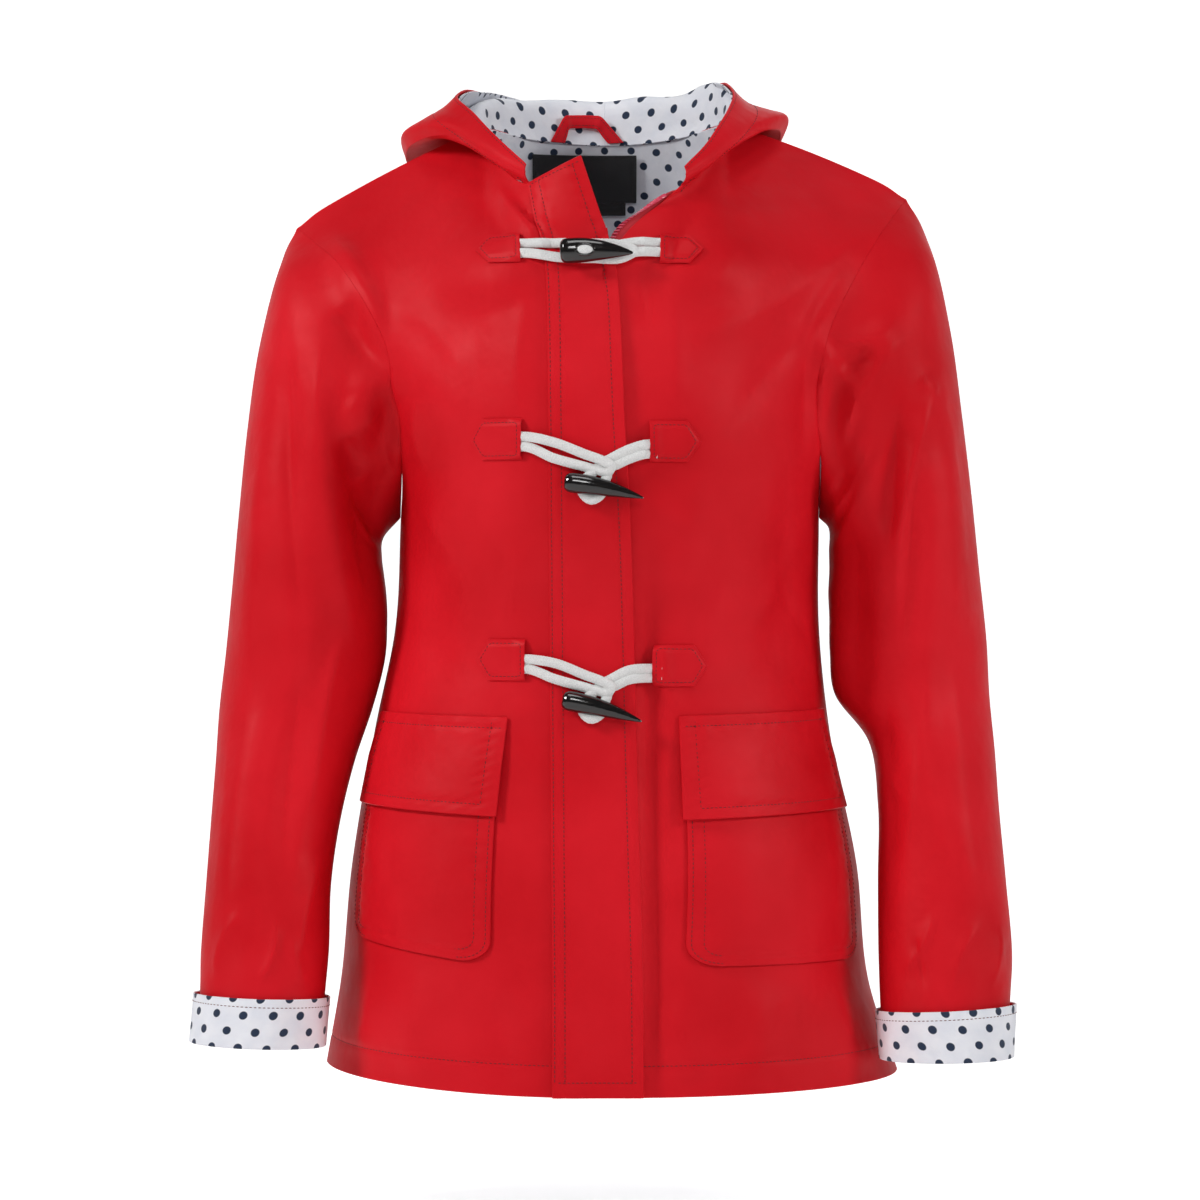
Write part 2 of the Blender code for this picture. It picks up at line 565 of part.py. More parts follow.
def build_pocket(side, name):
    """A patch pocket with round bottom corners, and the flap over its mouth."""
    corners = POCKETS[side]
    tall = abs(corners["z"][3] - corners["z"][0])
    wide = abs(corners["x"][1] - corners["x"][0])
    turn = np.linspace(0, np.pi / 2, 5)
    down = np.concatenate([np.linspace(0, 1 - POCKET_CORNER / tall, 8)[:-1],
                           1 - POCKET_CORNER * (1 - np.sin(turn)) / tall])
    inset = np.concatenate([np.zeros(7), POCKET_CORNER * (1 - np.cos(turn)) / wide])
    across = np.linspace(0, 1, 9)[None, :] * (1 - 2 * inset[:, None]) + inset[:, None]
    points, facing = on_front(side, corners, across, np.repeat(down[:, None], 9, axis=1))
    sheet("pocket_" + name, points, facing, SHELL_RED, LIFT, SHELL)

    across, down = np.meshgrid(np.linspace(0, 1, 9), np.linspace(0, 1, 8))
    points, facing = on_front(side, FLAPS[side], across, down)
    rise = FLAP_RISE * np.clip(down / 0.5, 0, 1)[..., None]
    sheet("pocket_flap_" + name, points + facing * rise, facing, SHELL_RED, LIFT, SHELL)


def build_patch(name, side, tip_x, in_x, z, tall):
    """A five-sided patch that holds a cord's ends, its point away from the front edge."""
    length = abs(in_x - tip_x)
    along_x = np.array([0, PATCH_POINT / 2, PATCH_POINT, (PATCH_POINT + length) / 2, length])
    half = np.interp(along_x, [0, PATCH_POINT], [PATCH_TIP, tall / 2])
    rows = np.linspace(1, -1, 4)
    x = tip_x + np.sign(in_x - tip_x) * np.repeat(along_x[None], 4, axis=0)
    grid_z = z + rows[:, None] * half[None, :]
    at, normal = skin(side)
    place = locate(at, x.ravel(), grid_z.ravel())
    shape = x.shape + (3,)
    sheet(name, at(*place).reshape(shape), normal(*place).reshape(shape), TRIM_RED, LIFT, SHELL)


def front_depth(x, z):
    """How far forward (y) the front panels reach at each x and z."""
    left, right = skin(LEFT)[0], skin(RIGHT)[0]
    on_left = left(*locate(left, np.minimum(x, -4), z))[:, 1]
    on_right = right(*locate(right, np.maximum(x, 4), z))[:, 1]
    return np.where(np.asarray(x) < 0, on_left, on_right)


def placket_grid():
    """The storm flap's inner points, lying on the panels and standing off them at its top."""
    knots = np.arange(len(PLACKET["seam_x"]), dtype=float)
    rows = curve(knots, columns(PLACKET, "seam_x", "edge_x", "seam_z", "edge_z", "out"),
                 np.linspace(0, knots[-1], 22))
    across = np.linspace(0, 1, 6)[None, :]
    x = rows[:, 0:1] + (rows[:, 1:2] - rows[:, 0:1]) * across
    z = rows[:, 2:3] + (rows[:, 3:4] - rows[:, 2:3]) * across
    y = front_depth(x.ravel(), z.ravel()).reshape(x.shape) - rows[:, 4:5] - LIFT
    return np.stack([x, y, z], axis=-1)


def build_placket():
    """The storm flap that covers the closed zip."""
    inner = placket_grid()
    facing = grid_normals(inner, False)
    facing = facing * np.sign(-facing[..., 1:2])
    sheet("storm_flap", inner, facing, SHELL_RED, 0, SHELL)


def tube_mesh(path, wide, deep, sides):
    """A capped tube round a path, oval where wide (across the view) and deep (to the front) differ."""
    way = unit(np.gradient(path, axis=0))
    depth = unit(np.array([0, 1.0, 0]) - way * way[:, 1:2])
    across = np.cross(way, depth)
    angle = np.linspace(0, 2 * np.pi, sides, endpoint=False)[None, :, None]
    ring = (path[:, None] + across[:, None] * np.cos(angle) * np.reshape(wide, (-1, 1, 1))
            + depth[:, None] * np.sin(angle) * np.reshape(deep, (-1, 1, 1)))
    count = len(path)
    index = np.arange(count * sides).reshape(count, sides)
    index = np.concatenate([index, index[:, :1]], axis=1)
    face = np.stack([index[:-1, :-1], index[:-1, 1:], index[1:, 1:], index[1:, :-1]], axis=-1)
    faces = halves(face.reshape(-1, 4))
    caps = [[ends[0], ends[i], ends[i + 1]]
            for ends in (index[0, -2::-1], index[-1, :-1]) for i in range(1, sides - 1)]
    return ring.reshape(-1, 3), np.concatenate([faces, caps])


def smooth_path(corners, count):
    """A smooth line of so many points through the corners, evenly spaced."""
    corners = np.array(corners, float)
    knots = np.concatenate([[0], np.cumsum(np.linalg.norm(np.diff(corners, axis=0), axis=1))])
    return curve(knots, corners, np.linspace(0, knots[-1], count))


def cord_path(corners, count, foot_x, flap_x):
    """A cord through corners (x, z, raise), lying on the panel and then on the storm flap."""
    flat = smooth_path(corners, count)
    x, z, lift = flat.T
    onto = np.clip((x - foot_x) / (flap_x - foot_x), 0, 1)
    rest = front_depth(x, z) - CORD_RADIUS - LIFT - PLACKET_OFF * onto
    return np.stack([x, rest - lift, z], axis=1)


def build_fastening(index, place):
    """One toggle, its two patches, the loop that holds it and the cord that carries it."""
    row = {name: values[index] for name, values in TOGGLES.items()}
    for side, name in ((LEFT, "left"), (RIGHT, "right")):
        build_patch(f"patch_{name}_{place}", side, row[name + "_tip"], row[name + "_in"],
                    row[name + "_z"], row["tall"])
    x, z = row["cross_x"], row["cross_z"]
    spread, start = row["tall"] * 0.26, row["left_in"] + 0.5
    middle = (start + x) / 2
    loop = [(start, row["left_z"] + spread, 0), (middle, (row["left_z"] + z) / 2 + spread * 0.9, 0),
            (x - 6, z + 3.3, 0), (x, z, 0), (x - 6, z - 3.3, 0),
            (middle, (row["left_z"] + z) / 2 - spread * 0.8, 0), (start, row["left_z"] - spread, 0)]
    path = cord_path(loop, 19, start + 3, PLACKET_SEAM_X - 5)
    solid(f"loop_cord_{place}", *tube_mesh(path, CORD_RADIUS, CORD_RADIUS, 6), CORD_WHITE)

    start = row["right_in"] - 0.5
    turn = x + 2 * CORD_RADIUS + 2
    middle = (start + turn) / 2
    cord = [(start, row["right_z"] + 4.2, 0), (middle, (row["right_z"] + z) / 2 + 3.6, 0),
            (turn + 4, z + 2.9, 0), (turn, z, 0), (turn + 4, z - 2.9, 0),
            (middle, (row["right_z"] + z) / 2 - 3.6, 0), (start, row["right_z"] - 4.2, 0)]
    path = cord_path(cord, 17, start - 1, PLACKET_EDGE_X + 5)
    solid(f"toggle_cord_{place}", *tube_mesh(path, CORD_RADIUS, CORD_RADIUS, 6), CORD_WHITE)

    way, size = TOGGLE_SHAPE["way"], TOGGLE_SHAPE["size"]
    xs = row["butt_x"] + (row["tip_x"] - row["butt_x"]) * way
    zs = row["butt_z"] + (row["tip_z"] - row["butt_z"]) * way + 1.5 * np.sin(np.pi * way)
    surface = front_depth(xs, zs).min() - PLACKET_OFF - 2 * CORD_RADIUS - LIFT - 3 * GAP
    surface += row["seat"]
    path = np.stack([xs, 0 * xs + surface - TOGGLE_DEEP, zs], axis=1)
    solid(f"toggle_{place}", *tube_mesh(path, row["half"] * size, TOGGLE_DEEP * size, 12),
          HORN_BLACK)


def build_cuff(side, name):
    """The sleeve end turned up to show its lining, as a band round the sleeve."""
    at = plain_sleeve(side)
    around = np.linspace(0, 2, 2 * BODY_ROWS_ABOVE + 1)[:-1]
    rows = np.linspace(1.003, 1 - CUFF_HEIGHT / 600, 5)
    share, length = (g.ravel() for g in np.meshgrid(around, rows))
    grid = at(share, length).reshape(len(rows), len(around), 3)
    facing = away_from_axis(grid, grid_normals(grid, True))
    flare = np.linspace(0, CUFF_FLARE, len(rows))[:, None, None]
    sheet("cuff_" + name, grid + facing * flare, facing, LINING_WHITE, LIFT + 0.2, CUFF_WALL, True)


def neck_curve(share):
    """Points along the neck seam, from the left front end (0) round the back to the right (1)."""
    left, right = FRONT_TOP[LEFT], FRONT_TOP[RIGHT]
    names = ("x", "y", "z")
    points = np.concatenate([
        columns(left, *names)[1:5], columns(BACK_TOP[LEFT], *names)[2:0:-1],
        columns(BACK_TOP[LEFT], *names)[:1], columns(BACK_TOP[RIGHT], *names)[1:3],
        columns(right, *names)[4:0:-1], columns(right, *names)[:1]])
    knots = np.concatenate([[0], np.cumsum(np.linalg.norm(np.diff(points, axis=0), axis=1))])
    middle = knots[6]
    scaled = np.where(knots <= middle, 0.5 * knots / middle,
                      0.5 + 0.5 * (knots - middle) / (knots[-1] - middle))
    return curve(scaled, points, share)


def hood_profiles(share):
    """Outward distance and height of nine points up the hood from the neck seam, at each share.

    Towards the front ends, where the hood has no fold, they lie on one open arc.
    """
    rows = HOOD_SECTIONS
    names = ("rise", "lean", "reach", "drop", "swell", "rim_out", "rim_up")
    made = curve(rows["share"], columns(rows, *names), share)
    rise, lean, reach, drop, swell, rim_out, rim_up = made.T
    size = np.clip(reach / 40, 0, 1)
    fold_out, fold_down = lean + HOOD_FOLD * size, rise - 5 * size
    out = [0 * rise, 0.3 * lean, lean, fold_out, fold_out + 0.55 * (reach - fold_out), reach,
           reach + HOOD_BEND / 3 * size, (reach + rim_out) / 2 + swell, rim_out]
    up = [0 * rise + HOOD_SEAM_LIFT, 0.55 * rise + HOOD_SEAM_LIFT, rise + HOOD_SEAM_LIFT,
          fold_down, fold_down + 0.7 * (drop - fold_down), drop, drop + HOOD_BEND * size,
          (drop + rim_up) / 2 + swell / 2, rim_up]
    t = np.linspace(0, 1, len(out))[:, None]
    arc = []
    for path, low, rim in ((out, reach, rim_out), (up, drop, rim_up)):
        bend = 2 * low - (path[0] + rim) / 2
        arc.append((1 - t)**2 * path[0] + 2 * t * (1 - t) * bend + t**2 * rim)
    folded_share = np.clip((rise - HOOD_ARC_RISE) / HOOD_ARC_RISE, 0, 1)
    return [a + (np.array(p) - a) * folded_share for a, p in zip(arc, (out, up))]


def clear_of(points, floor, facing, clearance):
    """The points moved off the floor's sample points until they clear it, each by its own clearance."""
    moved = points.copy()
    for first in range(0, len(points), 200):
        part = moved[first:first + 200]
        far = np.linalg.norm(part[:, None] - floor[None], axis=2)
        near = far.argmin(axis=1)
        over = np.einsum("ij,ij->i", part - floor[near], facing[near])
        lift = np.clip(clearance[first:first + 200] - over, 0, HOOD_REACH)
        moved[first:first + 200] = part + facing[near] * lift[:, None]
    return moved


def spread_points(places, at):
    """Points along each column's own smooth curve through its places, at these shares of its length."""
    steps = np.linalg.norm(np.diff(places, axis=0), axis=2)
    knots = np.concatenate([0 * steps[:1], np.cumsum(steps, axis=0)]) / steps.sum(axis=0)
    return np.stack([curve(knots[:, j], places[:, j], at) for j in range(places.shape[1])], axis=1)


def hood_grid(shares, panels):
    """The hood's outer (coated) points for these shares of the neck seam, up to its rim."""
    seam = neck_curve(shares)
    outward = unit((seam - HOOD_CENTRE) * np.array([1, 1, 0]))
    out, up = hood_profiles(shares)
    places = np.stack([out, up], axis=-1)
    close_at_both = 0.5 - 0.5 * np.cos(np.linspace(0, np.pi, HOOD_ROWS_UNDER))
    close_at_start = 1 - np.cos(np.linspace(0, np.pi / 2, HOOD_ROWS_OVER))
    under = spread_points(places[:HOOD_LOWEST + 1], close_at_both)
    over = spread_points(places[HOOD_LOWEST:], close_at_start)
    grid = np.concatenate([under, over[1:]])
    points = seam[None] + outward[None] * grid[..., :1] + np.array([0, 0, 1.0]) * grid[..., 1:]
    floor = np.concatenate([g.reshape(-1, 3) for g, _ in panels.values()])
    facing = np.concatenate([n.reshape(-1, 3) for _, n in panels.values()])
    clearance = np.interp(np.arange(len(points)), [0, 5], [HOOD_SEAM_LIFT, HOOD_CLEARANCE])
    clearance = clearance[:, None] * np.clip(out.max(axis=0) / HOOD_FULL, HOOD_LEAST, 1)
    lift = np.stack([clear_of(row, floor, facing, least) - row
                     for row, least in zip(points, clearance)])
    lift *= np.clip(np.minimum(shares, 1 - shares) / HOOD_END, 0, 1)[None, :, None]
    first = HOOD_ROWS_UNDER
    carried = lift[first - 2:0:-1][:HOOD_ROWS_OVER - 1]
    lift[first:first + len(carried)] += carried * np.linspace(1, 0, len(carried))[:, None, None]
    for _ in range(HOOD_SMOOTHING):
        beside = np.concatenate([lift[:, :1], lift, lift[:, -1:]], axis=1)
        lift = (2 * lift + beside[:, :-2] + beside[:, 2:]) / 4
        lift[1:-1] = (2 * lift[1:-1] + lift[:-2] + lift[2:]) / 4
        lift[0] = 0
    return points + lift


def build_hood(panels):
    """Both halves of the hood and their lining, meeting at the middle of the back."""
    for name, first, last in (("left", 0.0, 0.5), ("right", 0.5, 1.0)):
        shares = np.linspace(first, last, HOOD_COLUMNS)
        grid = hood_grid(shares, panels)
        facing = grid_normals(grid, False)
        middle = -1 if last == 0.5 else 0
        facing[:, middle] = unit(facing[:, middle] * np.array([0, 1, 1]))
        facing = facing * np.sign((facing[-3] * (grid[-3] - HOOD_CENTRE)).sum())
        trim = trimmed(grid, False, GAP / 2)
        sheet("hood_" + name, trim, facing, SHELL_RED, -SHELL, SHELL)
        end, inner = (0, 1) if last == 0.5 else (-1, -2)
        grid[:, end] = (grid[:, end] + grid[:, inner]) / 2
        facing[:, end] = unit(facing[:, end] + facing[:, inner])
        bend = slice(HOOD_ROWS_UNDER - 2, HOOD_ROWS_UNDER + 1)
        across_bend = (grid[HOOD_ROWS_UNDER - 4] + grid[HOOD_ROWS_UNDER + 2]) / 2
        grid[bend] += unit(across_bend - grid[bend]) * LINING_EASE
        low = trimmed(grid, False, GAP)
        sheet("hood_lining_" + name, low, facing, LINING_WHITE, -SHELL - 2 * GAP - LINING, LINING)


def build_neck(panels):
    """The lining behind the neck, with the label, the size tab and the hanger loop."""
    grid, facing = panels["back"]
    middle = PANEL_COLUMNS
    part = (slice(-1 - NECK_LINING_ROWS, None),
            slice(middle - NECK_LINING_COLUMNS + 2, middle + NECK_LINING_COLUMNS - 1))
    sheet("neck_lining", trimmed(grid[part], False, GAP), facing[part], LINING_WHITE,
          -SHELL - GAP - LINING, LINING)
    inside = SHELL + GAP + LINING
    for name, corners, off in (("label", LABEL, 2.1), ("size_tab", SIZE_TAB, 2.1)):
        x = np.linspace(corners["x"][0], corners["x"][1], 7)
        z = np.linspace(corners["z"][0], corners["z"][2], 4)
        x, z = np.meshgrid(x, z)
        y = back_depth(x.ravel(), z.ravel()).reshape(x.shape) - inside - off - TAPE
        points = np.stack([x, y, z], axis=-1)
        forward = np.zeros_like(points)
        forward[..., 1] = -1
        sheet(name, points, forward, LABEL_BLACK, 0, TAPE)
    x = np.stack([HANGER["outer_x"], HANGER["inner_x"]])
    z = np.stack([HANGER["outer_z"], HANGER["inner_z"]])
    ring = neck_curve(np.linspace(0.35, 0.65, 31))
    y = np.interp(x, ring[:, 0], ring[:, 1]) - HANGER_FRONT
    points = np.stack([x, y, z], axis=-1)
    forward = np.zeros_like(points)
    forward[..., 1] = -1
    sheet("hanger_loop", points, forward, TAPE_RED, 0, HANGER_WALL)


def back_depth(x, z):
    """How far back (y) the back panel's outer side lies at each x and z."""
    left, right = skin(LEFT, True)[0], skin(RIGHT, True)[0]
    on_left = left(*locate(left, np.minimum(x, 0), z))[:, 1]
    on_right = right(*locate(right, np.maximum(x, 0), z))[:, 1]
    return np.where(np.asarray(x) < 0, on_left, on_right)


def build_zip(panels):
    """The two zip tapes behind the front edges, and the slider between them."""
    for name in ("left", "right"):
        grid, facing = (part[:, :2] for part in panels["front_" + name])
        beyond = grid[:, :1] + unit(grid[:, :1] - grid[:, 1:]) * ZIP_BEYOND
        points = np.concatenate([beyond, grid], axis=1)
        points[0] += unit(points[1] - points[0]) * ZIP_FOOT
        turned = np.concatenate([facing[:, :1], facing], axis=1)
        points, turned = points[:-1], turned[:-1]
        sheet("zip_tape_" + name, trimmed(points, False, GAP), turned, TAPE_RED,
              -SHELL - ZIP_GAP - TAPE, TAPE)
    y = front_depth(np.array([-4.0]), np.array([SLIDER_Z]))[0] + SHELL / 2 - GAP
    path = np.array([[0, y, SLIDER_Z + SLIDER_TALL / 2], [0, y, SLIDER_Z - SLIDER_TALL / 2]])
    solid("zip_slider", *tube_mesh(path, SLIDER_WIDE / 2, SLIDER_DEEP / 2, 8), METAL_RED)


def clear_scene():
    """Remove whatever the scene holds."""
    for item in list(bpy.data.objects):
        bpy.data.objects.remove(item, do_unlink=True)


def main():
    clear_scene()
    panels = main_panels()
    build_main(panels)
    for side, name in ((LEFT, "left"), (RIGHT, "right")):
        build_pocket(side, name)
        build_cuff(side, name)
    build_placket()
    for index, place in enumerate(TOGGLE_PLACES):
        build_fastening(index, place)
    build_hood(panels)
    build_neck(panels)
    build_zip(panels)


main()
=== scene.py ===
"""Looks of a hooded rain slicker, filled out as worn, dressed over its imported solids.

Lengths are in millimetres unless a name says otherwise, and METRE turns them into metres. +X is the
viewer's right, the front faces -Y, +Z is up, and the origin is the middle of the shoulder line.
Left and right are the viewer's.
"""

import logging
from dataclasses import dataclass, field
from enum import Enum, IntEnum
from typing import Callable

import bpy
import numpy as np
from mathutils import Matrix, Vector

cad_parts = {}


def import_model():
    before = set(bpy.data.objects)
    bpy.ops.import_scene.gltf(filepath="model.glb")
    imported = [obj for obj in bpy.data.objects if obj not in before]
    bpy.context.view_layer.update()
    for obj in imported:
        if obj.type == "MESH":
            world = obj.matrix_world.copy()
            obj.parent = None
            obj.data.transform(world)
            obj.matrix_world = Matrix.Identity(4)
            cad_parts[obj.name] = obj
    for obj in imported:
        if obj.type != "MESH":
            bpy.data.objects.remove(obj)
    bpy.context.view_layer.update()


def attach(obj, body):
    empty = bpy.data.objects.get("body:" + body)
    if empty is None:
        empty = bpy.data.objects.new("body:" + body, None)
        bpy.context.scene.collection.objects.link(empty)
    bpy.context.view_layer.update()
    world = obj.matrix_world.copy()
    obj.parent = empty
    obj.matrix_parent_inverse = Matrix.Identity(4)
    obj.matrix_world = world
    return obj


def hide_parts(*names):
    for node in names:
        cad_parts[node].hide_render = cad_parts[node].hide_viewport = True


Array = np.ndarray
Pair = tuple[Array, Array]                # two arrays that go together, such as points and normals
Socket = bpy.types.NodeSocket
Material = bpy.types.Material
Surface = Callable[[Array, Array], Array]
Table = dict[str, Array]

METRE = 0.001
SHELL, LINING, TAPE = 1.4, 1.0, 1.0       # walls of the coated cloth, the lining and the tapes
GAP, LIFT, EASE = 0.3, 0.5, 0.4           # at seams, under sewn-on pieces, between paired walls
HEM_HEIGHT = 635.0
NECK_SHARE = 0.36
ARMPIT_ROW = 5
ROWS_BELOW, ROWS_ABOVE, PANEL_COLUMNS, SLEEVE_ROWS = 118, 80, 58, 196

log = logging.getLogger("slicker")


class Side(IntEnum):
    """The viewer's left or right half of the garment, as the sign of its x."""

    LEFT = -1
    RIGHT = 1

    @property
    def word(self) -> str:
        """The side's name as the pieces use it."""
        return self.name.lower()


class Held(Enum):
    """How a piece of cloth is carried."""

    WORN = "hung"
    FLAT = "laid"
    FOLDED = "folded"


def table(columns: str, rows: str) -> Table:
    """Named columns of numbers, from rows in the order of the names, with commas between rows."""
    numbers = [row.split() for row in rows.split(",")]
    return dict(zip(columns.split(), np.array(numbers, float).T))


ROW_HEIGHTS = np.array([0, 60, 145, 245, 315, 395, 445, 495, 540, 590, HEM_HEIGHT], float)
SIDE_SEAM = {
    Side.LEFT: table("x y z", """
        -200 0 -640, -190 0 -583, -182 0 -500, -165 0 -400, -151 2 -330, -147 5 -250"""),
    Side.RIGHT: table("x y z", """
        210 0 -646, 190 0 -585, 181 0 -500, 161 0 -400, 154 2 -330, 154 5 -250"""),
}
ARMHOLE_FRONT = {
    Side.LEFT: table("x y z turn", """
        -144 -58 -208 70, -149 -77 -165 60, -155 -78 -126 45, -186 -52 -76 30, -224 6 -39 10"""),
    Side.RIGHT: table("x y z turn", """
        152 -60 -205 70, 149 -78 -155 60, 161 -77 -112 45, 191 -48 -57 30, 219 6 -18 10"""),
}
ARMHOLE_BACK = {
    Side.LEFT: table("x y z turn", """
        -149 58 -208 70, -156 76 -165 60, -164 78 -126 45, -192 56 -78 30, -224 6 -39 10"""),
    Side.RIGHT: table("x y z turn", """
        156 60 -205 70, 156 77 -155 60, 168 78 -112 45, 196 54 -58 30, 219 6 -18 10"""),
}
FRONT_MIDDLE = table("left_x right_x y z full", """
    -4 4 -152 -650 0.60, -4 4 -149 -588 0.60, -4 4 -143 -502 0.60, -4 4 -133 -400 0.59,
    -4 4 -131 -330 0.58, -4 4 -147 -250 0.58, -4 4 -150 -205 0.58, -4 4 -148 -155 0.58,
    -4 4 -142 -110 0.58, -8 12 -130 -60 0.55, -24 54 -118 -6 0.5""")
BACK_MIDDLE = table("y z full", """
    150 -648 0.60, 143 -588 0.60, 134 -502 0.60, 117 -400 0.59, 111 -330 0.58, 127 -250 0.58,
    127 -205 0.58, 122 -155 0.58, 115 -110 0.58, 100 -55 0.57, 66 26 0.5""")
FRONT_TOP = {
    Side.LEFT: table("share x y z", """
        0 -24 -118 -6, 0.11 -54 -100 -20, 0.19 -70 -72 -8, 0.27 -82 -38 12, 0.36 -88 0 31,
        1 -224 6 -39"""),
    Side.RIGHT: table("share x y z", """
        0 54 -102 -22, 0.09 66 -84 -12, 0.18 76 -56 5, 0.27 84 -28 21, 0.36 88 0 34,
        1 219 6 -18"""),
}
BACK_TOP = {
    Side.LEFT: table("share x y z", """
        0 0 66 26, 0.12 -30 62 27, 0.24 -60 46 29, 0.36 -88 0 31, 1 -224 6 -39"""),
    Side.RIGHT: table("share x y z", """
        0 0 66 26, 0.12 30 62 27, 0.24 60 46 30, 0.36 88 0 34, 1 219 6 -18"""),
}
SLEEVE_SECTIONS = {
    Side.LEFT: table("x y z wide deep lean", """
        -197 2 -168 104 74 69, -205 0 -205 86 71 59, -208 -2 -240 72 68 47, -210 -4 -276 61 66 30,
        -212 -6 -312 57 64 13, -215 -9 -350 57 61 3, -221 -13 -385 55 58 0,
        -228.2 -24 -424.1 49.6 55 0, -234.2 -36 -466.1 45.9 52 0, -238 -50 -508.6 44.2 48 0,
        -239.9 -63 -559.6 45 44 0, -241.2 -71 -590.2 43.9 42 2, -243.6 -78 -618.7 45.3 40 2"""),
    Side.RIGHT: table("x y z wide deep lean", """
        198 2 -158 107 74 70, 205 0 -196 90 71 61, 209 -2 -233 74 68 50, 212 -4 -270 62 66 34,
        215 -6 -306 56 64 16, 217.5 -9 -343 56.3 61 5, 220 -13 -377 55.3 58 0,
        233.1 -24 -413.2 45.1 55 -4, 237.1 -36 -456.2 43 52 -2, 238.4 -50 -507.6 45.2 48 0,
        239.8 -63 -561.6 47 44 0, 239.1 -71 -598 45.4 42 3, 239.5 -78 -628.5 44.3 40 1"""),
}
# Largest folds, the same as in the solids: a ridge or trough from one end to the other.
FOLDS = table("face x1 z1 x2 z2 width height bow", """
    1 206 -112 172 -262 15 7 12, 1 190 -190 166 -300 11 5 6, 1 236 -150 208 -430 17 5 -8,
    1 160 -150 176 -238 10 -7 4, 1 172 -262 178 -390 12 -7 0, 1 222 -400 262 -520 14 4 6,
    1 -196 -58 -158 -146 11 5 -5, 1 -168 -150 -178 -208 12 6 -4, 1 -152 -165 -160 -238 10 -8 0,
    1 -198 -150 -180 -330 14 6 8, 1 -226 -210 -214 -420 15 5 -6, 1 -190 -330 -232 -500 13 -4 5,
    1 168 -70 70 -128 20 3.5 6, 1 -150 -110 -90 -190 18 3 5, 1 138 -250 118 -372 16 -3.5 5,
    1 -132 -262 -116 -372 16 -3.5 -5, -1 200 -110 176 -270 15 6 10, -1 -206 -118 -180 -280 15 6 -10,
    -1 232 -180 214 -420 16 5 6, -1 -230 -190 -214 -430 16 5 -6, -1 70 -250 92 -420 24 -5 8,
    -1 -64 -262 -86 -430 24 -5 -8, -1 10 -300 -6 -520 22 4 6, -1 120 -400 140 -610 26 4 6,
    -1 -118 -410 -142 -600 26 4 -6""")
